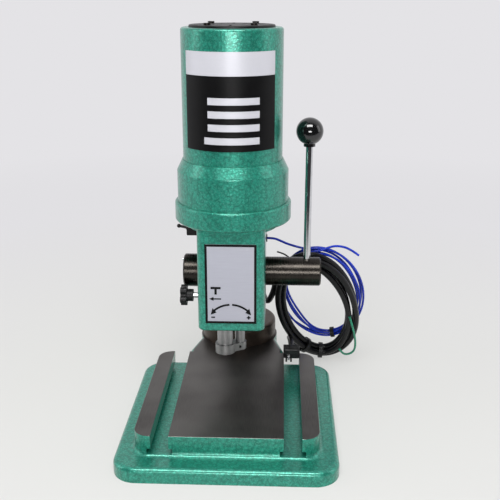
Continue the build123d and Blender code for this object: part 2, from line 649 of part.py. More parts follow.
def end_cap_screw_places():
    return list(around(MOTOR, END_CAP_SCREW_PITCH_R, 4, 45))


def make_motor_end_cap():
    cap = disc(MOTOR_LIP_R - AIR, DECK_TOP, END_CAP_TOP, MOTOR)
    cap = fillet(cap.edges().group_by(Axis.Z)[-1], 1.5)
    cap += disc(MOTOR_DECK_BORE_R - SEAT_FIT, DECK_TOP - END_CAP_SPIGOT, DECK_TOP, MOTOR)
    cap -= disc(MOTOR_BEARING_R + SEAT_FIT, CAP_BEARING_Z - 1, CAP_BEARING_Z + MOTOR_BEARING_H, MOTOR)
    cap -= disc(SHAFT_R + 1, CAP_BEARING_Z, DECK_TOP + 2, MOTOR)
    for i in range(END_CAP_SLOTS):
        slot = block(END_CAP_SLOT_IN, END_CAP_SLOT_OUT, -END_CAP_SLOT_W / 2, END_CAP_SLOT_W / 2,
                     END_CAP_TOP - END_CAP_SLOT_DEPTH, END_CAP_TOP + 1)
        cap -= Pos(MOTOR[0], MOTOR[1], 0) * Rot(0, 0, 360 * i / END_CAP_SLOTS) * slot
    for place in end_cap_screw_places():
        cap -= disc(END_CAP_SCREW_R + SEAT_FIT, DECK_TOP - 1, END_CAP_TOP + 1, place)
    return cap


def make_end_cap_screws():
    return [cap_screw(END_CAP_SCREW_R, END_CAP_SCREW_HEAD_R, END_CAP_SCREW_HEAD_H, END_CAP_SCREW_REACH,
                      place, END_CAP_TOP, END_CAP_SCREW_R * 0.8) for place in end_cap_screw_places()]


def make_motor_end_shield():
    shield = disc(MOTOR_R - MOTOR_WALL - SEAT_FIT, CONE_TOP, SHIELD_TOP, MOTOR)
    shield += disc(SHIELD_BOSS_R, CONE_TOP - SHIELD_BOSS_DROP, CONE_TOP, MOTOR)
    shield -= disc(MOTOR_BEARING_R + SEAT_FIT, SHIELD_BEARING_Z, SHIELD_TOP + 1, MOTOR)
    shield -= disc(SHAFT_R + 1, CONE_TOP - SHIELD_BOSS_DROP - 1, SHIELD_TOP, MOTOR)
    for place in around(MOTOR, SHIELD_SCREW_PITCH_R, 4, 45):
        shield -= disc(SHIELD_SCREW_R + SEAT_FIT, CONE_TOP - 1, SHIELD_TOP + 1, place)
    return shield


def make_end_shield_screws():
    reach = SHIELD_THICK + HOUSING_WALL
    return [cap_screw(SHIELD_SCREW_R, SHIELD_SCREW_HEAD_R, SHIELD_SCREW_HEAD_H, reach, place,
                      SHIELD_TOP, SHIELD_SCREW_R * 0.8) for place in around(MOTOR, SHIELD_SCREW_PITCH_R, 4, 45)]


def make_motor_bearings():
    inner = SHAFT_R + RUN_FIT
    return [ring(MOTOR_BEARING_R, inner, SHIELD_BEARING_Z, SHIELD_BEARING_Z + MOTOR_BEARING_H, MOTOR),
            ring(MOTOR_BEARING_R, inner, CAP_BEARING_Z, CAP_BEARING_Z + MOTOR_BEARING_H, MOTOR)]


def make_motor_stator():
    return ring(MOTOR_R - MOTOR_WALL - SEAT_FIT, ROTOR_R + ROTOR_GAP, CORE_BOTTOM, CORE_BOTTOM + CORE_HEIGHT, MOTOR)


def make_stator_windings():
    top = CORE_BOTTOM + CORE_HEIGHT
    return [ring(WINDING_OUT, WINDING_IN, CORE_BOTTOM - WINDING_H, CORE_BOTTOM, MOTOR),
            ring(WINDING_OUT, WINDING_IN, top, top + WINDING_H, MOTOR)]


def make_motor_shaft():
    return disc(SHAFT_R, GEAR_Z - 1, DECK_TOP - SHAFT_TOP_GAP, MOTOR)


def make_rotor_core():
    return ring(ROTOR_R, SHAFT_R + SEAT_FIT, CORE_BOTTOM, CORE_BOTTOM + CORE_HEIGHT, MOTOR)


def make_motor_fan():
    fan = disc(FAN_R, FAN_BOTTOM, FAN_BOTTOM + FAN_DISC, MOTOR)
    fan += disc(FAN_HUB_R, FAN_BOTTOM, FAN_BOTTOM + FAN_H, MOTOR)
    for i in range(FAN_BLADES):
        blade = block(FAN_HUB_R - 1, FAN_R, -FAN_BLADE_T / 2, FAN_BLADE_T / 2, FAN_BOTTOM, FAN_BOTTOM + FAN_H)
        fan += Pos(MOTOR[0], MOTOR[1], 0) * Rot(0, 0, 360 * i / FAN_BLADES) * blade
    return fan - disc(SHAFT_R + SEAT_FIT, FAN_BOTTOM - 1, FAN_BOTTOM + FAN_H + 1, MOTOR)


def make_motor_nameplate():
    inner = MOTOR_R + SEAT_FIT
    plate = ring(inner + PLATE_THICK, inner, NAMEPLATE_BOTTOM, NAMEPLATE_TOP, MOTOR)
    reach = MOTOR_R * 3
    turn = math.radians(NAMEPLATE_HALF_ANGLE)
    wedge = make_face(Polyline((0, 0), (-reach * math.sin(turn), -reach * math.cos(turn)), (0, -reach * 2),
                               (reach * math.sin(turn), -reach * math.cos(turn)), close=True))
    keep = extrude(Pos(MOTOR[0], MOTOR[1], NAMEPLATE_BOTTOM) * wedge, NAMEPLATE_TOP - NAMEPLATE_BOTTOM)
    return plate & keep


# ---- quill and spindle -----------------------------------------------------------
def make_quill():
    quill = disc(QUILL_R, QUILL_STEP_Z, QUILL_TOP, QUILL) + disc(NOSE_R, NOSE_BOTTOM, QUILL_STEP_Z, QUILL)
    quill -= disc(QUILL_BORE_R, NOSE_BOTTOM - 1, QUILL_TOP + 1, QUILL)
    tip = QUILL_Y + QUILL_R
    slope = math.tan(math.radians(20))
    for i in range(-RACK_BELOW, RACK_ABOVE + 1):
        z = HUB_Z + i * math.pi * RACK_MODULE
        half = (math.pi * RACK_MODULE / 2 + BACKLASH) / 2
        outline = [(tip + 1, half + 2 * RACK_MODULE * slope), (tip - 2.25 * RACK_MODULE, half - 1.25 * RACK_MODULE * slope),
                   (tip - 2.25 * RACK_MODULE, -half + 1.25 * RACK_MODULE * slope), (tip + 1, -half - 2 * RACK_MODULE * slope)]
        face = make_face(Polyline(*[(QUILL_X - QUILL_R, y, z + dz) for y, dz in outline], close=True))
        quill -= extrude(face, 2 * QUILL_R, dir=(1, 0, 0))
    return quill


def make_spindle_bushes():
    inner = SPINDLE_R + RUN_FIT
    outer = QUILL_BORE_R - SEAT_FIT
    return [ring(outer, inner, NOSE_BOTTOM, NOSE_BOTTOM + BUSH_LENGTH, QUILL),
            ring(outer, inner, QUILL_TOP - BUSH_LENGTH, QUILL_TOP, QUILL)]


def make_spindle():
    head_bottom = NOSE_BOTTOM - SPINDLE_STAND
    round_top = QUILL_TOP + NUT_H
    spindle = disc(SPINDLE_R, head_bottom, round_top, QUILL)
    spindle += disc(QUILL_BORE_R - 0.5, head_bottom, NOSE_BOTTOM - AIR, QUILL)
    spindle += extrude(Pos(QUILL_X, QUILL_Y, round_top) * RegularPolygon(DRIVE_HEX_R, 6), SPINDLE_TOP - round_top)
    return spindle - disc(SOCKET_R, head_bottom - 1, head_bottom + SOCKET_DEPTH, QUILL)


def make_spindle_nut():
    nut = Pos(QUILL_X, QUILL_Y, QUILL_TOP + AIR) * extrude(RegularPolygon(NUT_R, 6), NUT_H - AIR)
    return nut - disc(SPINDLE_R + SEAT_FIT, QUILL_TOP, QUILL_TOP + NUT_H + 1, QUILL)


def make_depth_collar():
    rod = (ROD_X, ROD_Y)
    top = NOSE_BOTTOM + COLLAR_LUG_H
    collar = disc(COLLAR_R, NOSE_BOTTOM, NOSE_BOTTOM + COLLAR_H, QUILL) + disc(COLLAR_LUG_R, NOSE_BOTTOM, top, rod)
    length = math.dist(QUILL, rod)
    turn = math.degrees(math.atan2(ROD_Y - QUILL_Y, ROD_X - QUILL_X))
    web = block(0, length, -COLLAR_LUG_R + 0.5, COLLAR_LUG_R - 0.5, NOSE_BOTTOM, top)
    collar += Pos(QUILL_X, QUILL_Y, 0) * Rot(0, 0, turn) * web
    collar -= disc(NOSE_R + SEAT_FIT, NOSE_BOTTOM - 1, NOSE_BOTTOM + COLLAR_H + 1, QUILL)
    collar -= disc(ROD_SPIGOT_R + SEAT_FIT, NOSE_BOTTOM - 1, top + 1, rod)
    return collar - bar_y(COLLAR_SCREW_R + SEAT_FIT, ROD_Y - COLLAR_LUG_R - 1, ROD_Y, ROD_X, collar_screw_z())


def collar_screw_z():
    return NOSE_BOTTOM + COLLAR_LUG_H / 2


def make_collar_grub_screw():
    front = ROD_Y - COLLAR_LUG_R + 0.6
    screw = bar_y(COLLAR_SCREW_R, front, ROD_Y - ROD_SPIGOT_R - SEAT_FIT, ROD_X, collar_screw_z())
    socket = Pos(ROD_X, front + 1.5, collar_screw_z()) * Rot(90, 0, 0) * extrude(RegularPolygon(1.2, 6), 3)
    return screw - socket


def make_depth_rod():
    rod = (ROD_X, ROD_Y)
    lug_top = NOSE_BOTTOM + COLLAR_LUG_H
    return disc(ROD_R, lug_top, ROD_TOP, rod) + disc(ROD_SPIGOT_R, NOSE_BOTTOM, lug_top, rod)


def make_rod_bush():
    return ring(ROD_BUSH_R, ROD_R + RUN_FIT, HEAD_BOTTOM - ROD_BUSH_STAND, HEAD_BOTTOM + ROD_BUSH_SEAT, (ROD_X, ROD_Y))


# ---- feed shaft and lever ---------------------------------------------------------
def make_pinion_shaft():
    across = Plane(origin=(FEED_LEFT, HUB_Y, HUB_Z), x_dir=(0, -1, 0), z_dir=(1, 0, 0))
    teeth = across * extrude(gear_outline(RACK_MODULE, FEED_TEETH, 0), FEED_WIDTH)
    left = -HEAD_HALF_WIDTH + 1 + AIR
    return bar_x(FEED_SHAFT_R, left, HEAD_HALF_WIDTH + AIR + FEED_SHAFT_REACH, HUB_Y, HUB_Z) + teeth


def make_pinion_bushes():
    left = bar_x(FEED_LEFT_BUSH_R, -HEAD_HALF_WIDTH + 1, FEED_LEFT - AIR, HUB_Y, HUB_Z)
    right = bar_x(CHAMBER_R - SEAT_FIT, FEED_RIGHT + FEED_BUSH_CLEAR, HEAD_HALF_WIDTH, HUB_Y, HUB_Z)
    bore = bar_x(FEED_SHAFT_R + RUN_FIT, -HEAD_HALF_WIDTH, HEAD_HALF_WIDTH + 1, HUB_Y, HUB_Z)
    return [left - bore, right - bore]


def hub_screw(radius, from_axis, to_axis):
    """Cylinder on the hub's radial screw line, between two distances from the hub axis."""
    line = Pos(HUB_SCREW_X, HUB_Y, HUB_Z) * Rot(90 + HUB_SCREW_ANGLE, 0, 0)
    return line * Pos(0, 0, from_axis) * Cylinder(radius, to_axis - from_axis, align=UP)


def make_lever_hub():
    start = HEAD_HALF_WIDTH + AIR
    hub = bar_x(LEVER_HUB_R, start, LEVER_HUB_END, HUB_Y, HUB_Z)
    hub = chamfer(hub.edges().group_by(Axis.X)[-1], LEVER_HUB_EDGE)
    hub -= bar_x(FEED_SHAFT_R + SEAT_FIT, start - 1, start + FEED_SHAFT_REACH + AIR, HUB_Y, HUB_Z)
    hub -= disc(LEVER_ROD_R + SEAT_FIT, HUB_Z + LEVER_HUB_R - LEVER_SEAT, HUB_Z + LEVER_HUB_R + 1, (LEVER_X, HUB_Y))
    return hub - hub_screw(HUB_SCREW_R + SEAT_FIT, FEED_SHAFT_R, LEVER_HUB_R + 1)


def make_hub_grub_screw():
    outer = LEVER_HUB_R - 1.0
    screw = hub_screw(HUB_SCREW_R, FEED_SHAFT_R + SEAT_FIT, outer)
    line = Pos(HUB_SCREW_X, HUB_Y, HUB_Z) * Rot(90 + HUB_SCREW_ANGLE, 0, 0)
    return screw - line * Pos(0, 0, outer - 2) * extrude(RegularPolygon(1.5, 6), 4)


def make_lever_rod():
    return disc(LEVER_ROD_R, HUB_Z + LEVER_HUB_R - LEVER_SEAT, BALL_Z - BALL_R + BALL_SEAT, (LEVER_X, HUB_Y))


def make_ball_knob():
    ball = Pos(LEVER_X, HUB_Y, BALL_Z) * Sphere(BALL_R)
    ball += disc(BALL_NECK_R, BALL_Z - BALL_R - BALL_NECK_STAND, BALL_Z, (LEVER_X, HUB_Y))
    return ball - disc(LEVER_ROD_R + SEAT_FIT, BALL_Z - BALL_R - BALL_NECK_STAND - 1,
                       BALL_Z - BALL_R + BALL_SEAT, (LEVER_X, HUB_Y))


# ---- depth dial, lock knob, switch -------------------------------------------------
def make_depth_dial():
    dial = bar_x(DIAL_R, DIAL_OUT, DIAL_IN, HUB_Y, HUB_Z)
    dial = chamfer(dial.edges().group_by(Axis.X)[0], DIAL_EDGE)
    dial -= bar_x(DIAL_BOSS_R + RUN_FIT, DIAL_OUT + DIAL_WALL, DIAL_IN + 1, HUB_Y, HUB_Z)
    dial -= bar_x(DIAL_SCREW_R + AIR, DIAL_OUT - 1, DIAL_OUT + DIAL_WALL + 1, HUB_Y, HUB_Z)
    dial -= bar_x(DIAL_SCREW_HEAD_R + AIR, DIAL_OUT - 1, DIAL_OUT + DIAL_SCREW_HEAD_H + AIR, HUB_Y, HUB_Z)
    return dial - bar_x(DIAL_PIN_R + SEAT_FIT, DIAL_OUT - 1, DIAL_OUT + 2, HUB_Y, HUB_Z + DIAL_PIN_OFFSET)


def make_dial_pin():
    return bar_x(DIAL_PIN_R, DIAL_OUT - DIAL_PIN_STAND, DIAL_OUT + 2, HUB_Y, HUB_Z + DIAL_PIN_OFFSET)


def make_dial_screw():
    head_in = DIAL_OUT + DIAL_SCREW_HEAD_H
    screw = bar_x(DIAL_SCREW_HEAD_R, DIAL_OUT, head_in, HUB_Y, HUB_Z)
    screw += bar_x(DIAL_SCREW_R, head_in, DIAL_OUT + DIAL_WALL + 12, HUB_Y, HUB_Z)
    return screw - block(DIAL_OUT - 1, DIAL_OUT + 1, HUB_Y - 5, HUB_Y + 5, HUB_Z - 0.5, HUB_Z + 0.5)


def lock_hub_in():
    return -HEAD_HALF_WIDTH - LOCK_STUD_STAND


def make_lock_stud():
    return bar_x(LOCK_STUD_R, lock_hub_in() - LOCK_SEAT, QUILL_X - QUILL_R - AIR, QUILL_Y, LOCK_Z)


def make_lock_knob():
    hub_in = lock_hub_in()
    hub_out = hub_in - LOCK_HUB_L
    disc_out = hub_out - LOCK_DISC_L
    knob = bar_x(LOCK_HUB_R, hub_out, hub_in, QUILL_Y, LOCK_Z) + bar_x(LOCK_CORE_R, disc_out, hub_out, QUILL_Y, LOCK_Z)
    for y, z in around((QUILL_Y, LOCK_Z), LOCK_LOBE_PITCH_R, LOCK_LOBES, -90):
        knob += bar_x(LOCK_LOBE_R, disc_out, hub_out, y, z)
    return knob - bar_x(LOCK_STUD_R + SEAT_FIT, hub_in - LOCK_SEAT, hub_in + 1, QUILL_Y, LOCK_Z)


def switch_face():
    return -ARM_HALF_WIDTH - SWITCH_STAND - SWITCH_SIZE[0]


def make_switch_body():
    sx, sy, sz = SWITCH_SIZE
    face = switch_face()
    body = block(face, face + sx, SWITCH_Y - sy / 2, SWITCH_Y + sy / 2, SWITCH_Z - sz / 2, SWITCH_Z + sz / 2)
    body = fillet(body.edges().group_by(Axis.X)[0], 1.5)
    body += bar_x(SWITCH_NECK_R, face + sx, -ARM_HALF_WIDTH, SWITCH_Y, SWITCH_Z)
    body -= bar_x(TOGGLE_PIVOT_R + AIR, face - 1, face + 2 * TOGGLE_PIVOT_R, SWITCH_Y, SWITCH_Z)
    reach = TOGGLE_PIN_HALF + AIR
    return body - bar_y(TOGGLE_PIN_R + RUN_FIT, SWITCH_Y - reach, SWITCH_Y + reach, toggle_pivot_x(), SWITCH_Z)


def toggle_pivot_x():
    return switch_face() + TOGGLE_PIVOT_R / 2


def make_toggle_lever():
    pivot = Pos(toggle_pivot_x(), SWITCH_Y, SWITCH_Z)
    stick = Rot(0, TOGGLE_TILT, 0) * Rot(0, -90, 0) * Cylinder(TOGGLE_R, TOGGLE_REACH + TOGGLE_PIVOT_R, align=UP)
    tip = Rot(0, TOGGLE_TILT, 0) * Pos(-TOGGLE_REACH - TOGGLE_PIVOT_R, 0, 0) * Sphere(TOGGLE_TIP_R)
    pin = bar_y(TOGGLE_PIN_R, -TOGGLE_PIN_HALF, TOGGLE_PIN_HALF, 0, 0)
    return pivot * (Sphere(TOGGLE_PIVOT_R) + stick + tip + pin)


# ---- leads ---------------------------------------------------------------------------
def coil_lean():
    """Angle from upright of a coil that stands on its foot and leans on the lever hub, and its foot height."""
    foot_z = CABLE_BUNDLE_R + TIE_WALL + AIR
    run, rise = CABLE_COIL_FOOT_Y - HUB_Y, HUB_Z - foot_z
    reach = LEVER_HUB_R + CABLE_BUNDLE_R + 2 * AIR
    return math.atan2(run, rise) - math.asin(reach / math.hypot(run, rise)), foot_z


def coil_plane(centre_x, up_slope, behind, roll):
    """Plane of a coil: y_dir along its long axis, up the slope, and origin at the coil's centre."""
    lean, foot_z = coil_lean()
    turn = math.radians(roll)
    y = CABLE_COIL_FOOT_Y - up_slope * math.sin(lean) + behind * math.cos(lean)
    z = foot_z + up_slope * math.cos(lean) + behind * math.sin(lean)
    across = (math.cos(turn), -math.sin(turn) * math.sin(lean), math.sin(turn) * math.cos(lean))
    return Plane(origin=(centre_x, y, z), x_dir=across, z_dir=(0, -math.cos(lean), -math.sin(lean)))


def coil_solid(plane, half_w, half_l, bundle_r):
    path = Edge.make_ellipse(half_w, half_l, plane=plane)
    return sweep(Plane(path @ 0, z_dir=path % 0) * Circle(bundle_r), path)


def cable_coil_plane():
    return coil_plane(CABLE_COIL_X, CABLE_COIL_HALF_L, 0.0, CABLE_COIL_ROLL)


def wire_coil_plane():
    return coil_plane(WIRE_COIL_X, WIRE_COIL_CENTRE, CABLE_BUNDLE_R + WIRE_BUNDLE_R + AIR, WIRE_COIL_ROLL)


def on_coil(plane, half_w, half_l, degrees):
    """Point of a coil's centre line; 0 is its right side and 90 its top."""
    turn = math.radians(degrees)
    point = plane.origin + plane.x_dir * (half_w * math.cos(turn)) + plane.y_dir * (half_l * math.sin(turn))
    return point.X, point.Y, point.Z


def make_cable_gland():
    at = gland_place()
    gland = disc(GLAND_NUT_R, CLAMP_BOTTOM - GLAND_NUT_L, CLAMP_BOTTOM, at)
    cone = Pos(at[0], at[1], CLAMP_BOTTOM - GLAND_L - GLAND_NUT_L) * Cone(CABLE_R + 1.0, GLAND_R, GLAND_L, align=UP)
    return gland + cone


def power_cable_points():
    x, y = gland_place()
    top = CLAMP_BOTTOM - GLAND_L - GLAND_NUT_L
    end = on_coil(cable_coil_plane(), CABLE_COIL_HALF_W, CABLE_COIL_HALF_L, 155)
    return [(x, y, top), (x, y, top - 27), (x + 3.5, y - 16, top - 48), (x + 10.5, y - 40, top - 57.5),
            (x + 18, y - 63, top - 53), end]


def connector_place():
    """Centre of the connector's underside, on the rear end of the right rail and the table."""
    return (SLOT_INNER + SLOT_OUTER) / 2, TABLE_REAR - CONNECTOR_SIZE[1] / 2, TABLE_HEIGHT


def make_power_connector():
    x, y, z = connector_place()
    sx, sy, sz = CONNECTOR_SIZE
    body = block(x - sx / 2, x + sx / 2, y - sy / 2, y + sy / 2, z, z + sz)
    body = fillet(body.edges().filter_by(Axis.Z), 2)
    return fillet(body.edges().group_by(Axis.Z)[-1], 1)


def cable_tail_points():
    x, y, z = connector_place()
    start = (x, y + CONNECTOR_SIZE[1] / 2, z + CONNECTOR_SIZE[2] / 2)
    end = on_coil(cable_coil_plane(), CABLE_COIL_HALF_W, CABLE_COIL_HALF_L, 214)
    return [start, (x, start[1] + 14, start[2]), (x - 1.0, start[1] + 30, start[2] - 2), end]


def make_wire_grommet():
    x, y, z = grommet_place()
    return bar_x(GROMMET_R, x, x + GROMMET_L, y, z)


def control_wire_points():
    x, y, z = grommet_place()
    end = on_coil(wire_coil_plane(), WIRE_COIL_HALF_W, WIRE_COIL_HALF_L, 118)
    return [(x + GROMMET_L, y, z), (x + 11, y, z), (x + 19, y + 3, z - 4), (x + 27, y + 8, z - 10.5), end]


def wire_tail_points():
    start = on_coil(wire_coil_plane(), WIRE_COIL_HALF_W, WIRE_COIL_HALF_L, 80)
    x, y, z = start
    return [start, (x + 14, y + 2, z + 2.5), (x + 27, y + 5, z - 1.0), (x + 38, y + 9, z - 7.5), (x + 46, y + 12, z - 15)]


EARTH_WIRE_POINTS = [(142.2, 78.4, 81.5), (147.0, 84.5, 65.0), (152.3, 95.5, 44.0), (154.0, 106.0, 26.0),
                     (151.0, 110.5, 16.5), (143.0, 112.5, 12.5), (137.0, 112.5, 15.0), (133.2, 112.8, 21.0)]


def make_coil_ties():
    """Closed straps round the cable bundle and the wire bundle."""
    ties = []
    cable = (cable_coil_plane(), CABLE_COIL_HALF_W, CABLE_COIL_HALF_L)
    wire = (wire_coil_plane(), WIRE_COIL_HALF_W, WIRE_COIL_HALF_L)
    for coil, bundle_r, degrees in ((cable, CABLE_BUNDLE_R, 262), (cable, CABLE_BUNDLE_R, 236),
                                    (wire, WIRE_BUNDLE_R, 272), (wire, WIRE_BUNDLE_R, 122)):
        here = Vector(*on_coil(*coil, degrees))
        ahead = Vector(*on_coil(*coil, degrees + 1))
        seat = Plane(origin=here, z_dir=(ahead - here).normalized())
        inner = bundle_r + SEAT_FIT
        ties.append(extrude(seat * (Circle(inner + TIE_WALL) - Circle(inner)), TIE_WIDTH / 2, both=True))
    return ties


NODES = {
    "base": make_base,
    "column_flange": make_column_flange,
    "column_flange_screws": make_column_flange_screws,
    "column_tube": make_column_tube,
    "column_cap": make_column_cap,
    "head_casting": make_head_casting,
    "column_clamp_bolts": make_column_clamp_bolts,
    "depth_plate": make_depth_plate,
    "gear_housing": make_gear_housing,
    "housing_screws": make_housing_screws,
    "gear_bearings": make_gear_bearings,
    "motor_pinion": make_motor_pinion,
    "spindle_drive_gear": make_spindle_drive_gear,
    "motor_casing": make_motor_casing,
    "motor_end_cap": make_motor_end_cap,
    "end_cap_screws": make_end_cap_screws,
    "motor_end_shield": make_motor_end_shield,
    "end_shield_screws": make_end_shield_screws,
    "motor_bearings": make_motor_bearings,
    "motor_stator": make_motor_stator,
    "stator_windings": make_stator_windings,
    "motor_shaft": make_motor_shaft,
    "rotor_core": make_rotor_core,
    "motor_fan": make_motor_fan,
    "motor_nameplate": make_motor_nameplate,
    "quill": make_quill,
    "spindle_bushes": make_spindle_bushes,
    "spindle": make_spindle,
    "spindle_nut": make_spindle_nut,
    "depth_collar": make_depth_collar,
    "collar_grub_screw": make_collar_grub_screw,
    "depth_rod": make_depth_rod,
    "rod_bush": make_rod_bush,
    "pinion_shaft": make_pinion_shaft,
    "pinion_bushes": make_pinion_bushes,
    "lever_hub": make_lever_hub,
    "hub_grub_screw": make_hub_grub_screw,
    "lever_rod": make_lever_rod,
    "ball_knob": make_ball_knob,
    "depth_dial": make_depth_dial,
    "dial_pin": make_dial_pin,
    "dial_screw": make_dial_screw,
    "lock_stud": make_lock_stud,
    "lock_knob": make_lock_knob,
    "switch_body": make_switch_body,
    "toggle_lever": make_toggle_lever,
    "cable_gland": make_cable_gland,
    "power_cable": lambda: tube(CABLE_R, power_cable_points(), "power_cable"),
    "power_cable_coil": lambda: coil_solid(cable_coil_plane(), CABLE_COIL_HALF_W, CABLE_COIL_HALF_L, CABLE_BUNDLE_R),
    "cable_tail": lambda: tube(CABLE_R, cable_tail_points(), "cable_tail"),
    "power_connector": make_power_connector,
    "wire_grommet": make_wire_grommet,
    "control_wire": lambda: tube(WIRE_R, control_wire_points(), "control_wire"),
    "control_wire_coil": lambda: coil_solid(wire_coil_plane(), WIRE_COIL_HALF_W, WIRE_COIL_HALF_L, WIRE_BUNDLE_R),
    "wire_tail": lambda: tube(WIRE_R, wire_tail_points(), "wire_tail"),
    "earth_wire": lambda: tube(WIRE_R, EARTH_WIRE_POINTS, "earth_wire"),
    "coil_ties": make_coil_ties,
}

for node, make in NODES.items():
    shape = make()
    if isinstance(shape, list):
        shape = Compound(children=shape)
    export_step(shape, f"parts/{node}.step")
    print(node)
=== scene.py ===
import json
import math
import bmesh
import bpy
from mathutils import Matrix, Vector


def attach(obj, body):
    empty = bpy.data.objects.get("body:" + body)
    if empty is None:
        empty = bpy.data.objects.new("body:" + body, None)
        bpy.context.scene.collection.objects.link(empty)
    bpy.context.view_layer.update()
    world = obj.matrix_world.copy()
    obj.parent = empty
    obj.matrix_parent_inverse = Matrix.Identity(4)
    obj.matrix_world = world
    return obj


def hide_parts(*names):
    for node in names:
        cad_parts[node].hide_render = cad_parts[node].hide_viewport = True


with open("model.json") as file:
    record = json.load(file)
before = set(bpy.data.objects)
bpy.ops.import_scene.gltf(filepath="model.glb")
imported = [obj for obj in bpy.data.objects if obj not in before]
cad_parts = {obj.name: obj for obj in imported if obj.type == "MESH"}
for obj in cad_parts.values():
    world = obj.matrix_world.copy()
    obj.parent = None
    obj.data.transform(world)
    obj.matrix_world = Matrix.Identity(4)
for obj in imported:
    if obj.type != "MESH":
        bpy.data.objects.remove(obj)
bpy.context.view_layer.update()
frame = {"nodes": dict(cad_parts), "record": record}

mm = 0.001
nodes = frame["nodes"]


def inMetres(points):
    return [tuple(v * mm for v in p) for p in points]


# camera at the operator's eye height, a little to the right of the machine
view = {"place": (0.0535, -0.861, 0.475), "pitch": 0.315, "turn": 0.040, "lens": 57.456, "sensor": 36}
cameraData = bpy.data.cameras.new("camera")
cameraData.lens = view["lens"]
cameraData.sensor_width = view["sensor"]
camera = bpy.data.objects.new("camera", cameraData)
camera.location = view["place"]
camera.rotation_euler = (math.pi / 2 - view["pitch"], 0, view["turn"])
bpy.context.collection.objects.link(camera)
bpy.context.scene.camera = camera

# the lever hub's axis; both coils stand behind it and lean forward on it; sizes from here on are in mm
hub = {"y": 8, "z": 166.7}
coil = {"footY": 128, "footZ": 10.7, "lean": math.radians(29.95), "roll": math.radians(10)}
cableCoil = {"x": 99, "halfWidth": 45, "halfLength": 94, "centre": 94, "behind": 0}
wireCoil = {"x": 107, "halfWidth": 48.5, "halfLength": 84, "centre": 103, "behind": 14.8}
pointsPerTurn = 24
outside = 2 / (1 + math.cos(math.tau / pointsPerTurn / 2))  # the spline cuts inside its points by this


# point of a leaning coil, moved outward in its own plane and back from it
def onCoil(ring, degrees, outward=0.0, back=0.0):
    turn, lean, roll = math.radians(degrees), coil["lean"], coil["roll"]
    across, along = ring["halfWidth"] * math.cos(turn), ring["halfLength"] * math.sin(turn)
    normal = Vector((math.cos(turn) * ring["halfLength"], math.sin(turn) * ring["halfWidth"])).normalized()
    across = (across + normal.x * outward) * outside
    along = (along + normal.y * outward) * outside
    upSlope = ring["centre"] + across * math.sin(roll) + along * math.cos(roll)
    back += ring["behind"]
    return (ring["x"] + across * math.cos(roll) - along * math.sin(roll),
            coil["footY"] - upSlope * math.sin(lean) + back * math.cos(lean),
            coil["footZ"] + upSlope * math.cos(lean) + back * math.sin(lean))


# 1 at the middle angle, falling smoothly to 0 at reach degrees from it
def bump(degrees, middle, reach):
    gap = abs((degrees - middle + 180) % 360 - 180)
    return math.cos(gap / reach * math.pi / 2) ** 2 if gap < reach else 0.0


# turns wound downwards from the start angle, each in its own place in the bundle
def windings(ring, wind):
    points = []
    steps = round(wind["wound"] / 360 * pointsPerTurn)
    for i in range(steps + 1):
        wound = wind["wound"] * i / steps
        angle = wind["start"] - wound
        place = math.radians(wind["slot"] + wind["slotsApart"] * wound / 360)
        outward = wind["tight"] * math.cos(place)
        for middle, reach, size in wind["fanOut"]:
            outward += size * bump(angle, middle, reach) * max(0, math.cos(place))
        for middle, reach, size in wind["fanIn"]:
            outward -= size * bump(angle, middle, reach) * max(0, -math.cos(place))
        points.append(onCoil(ring, angle, outward, wind["depth"] * math.sin(place)))
    return points


# one smooth tube on an open NURBS spline with these control points
def makeCord(name, points, diameter):
    curve = bpy.data.curves.new(name, "CURVE")
    curve.dimensions = "3D"
    curve.bevel_depth = 1.0  # times each point's own radius
    curve.bevel_resolution = 4
    curve.resolution_u = 5
    curve.use_fill_caps = True
    spline = curve.splines.new("NURBS")
    spline.points.add(len(points) - 1)
    for point, place in zip(spline.points, inMetres(points)):
        point.co = (*place, 1)
        point.radius = diameter * mm / 2
    spline.order_u = 3
    spline.use_endpoint_u = True
    cord = bpy.data.objects.new(name, curve)
    bpy.context.collection.objects.link(cord)
    return cord


def setMaterial(piece, material):
    if not piece.material_slots:
        piece.data.materials.append(material)
    for materialSlot in piece.material_slots:
        materialSlot.material = material


# mesh in the machine's own frame, made into a piece that rides on a body
def makePiece(name, mesh, body, smooth=False):
    bmesh.ops.transform(mesh, matrix=Matrix.Scale(mm, 4), verts=mesh.verts)
    bmesh.ops.recalc_face_normals(mesh, faces=mesh.faces)
    data = bpy.data.meshes.new(name)
    mesh.to_mesh(data)
    mesh.free()
    if smooth:
        data.shade_smooth()
    piece = bpy.data.objects.new(name, data)
    bpy.context.collection.objects.link(piece)
    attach(piece, body)
    return piece


# block with rounded edges, tilted about X
def addBlock(mesh, size, centre, edge, tilt=0.0):
    corners = bmesh.ops.create_cube(mesh, size=1)["verts"]
    bmesh.ops.scale(mesh, vec=size, verts=corners)
    edges = list({e for v in corners for e in v.link_edges})
    rounded = bmesh.ops.bevel(mesh, geom=edges, offset=edge, affect="EDGES", segments=3, profile=0.5,
                              material=-1)
    corners = list({v for f in rounded["faces"] for v in f.verts})
    bmesh.ops.rotate(mesh, cent=(0, 0, 0), matrix=Matrix.Rotation(math.radians(tilt), 3, "X"), verts=corners)
    bmesh.ops.translate(mesh, vec=centre, verts=corners)


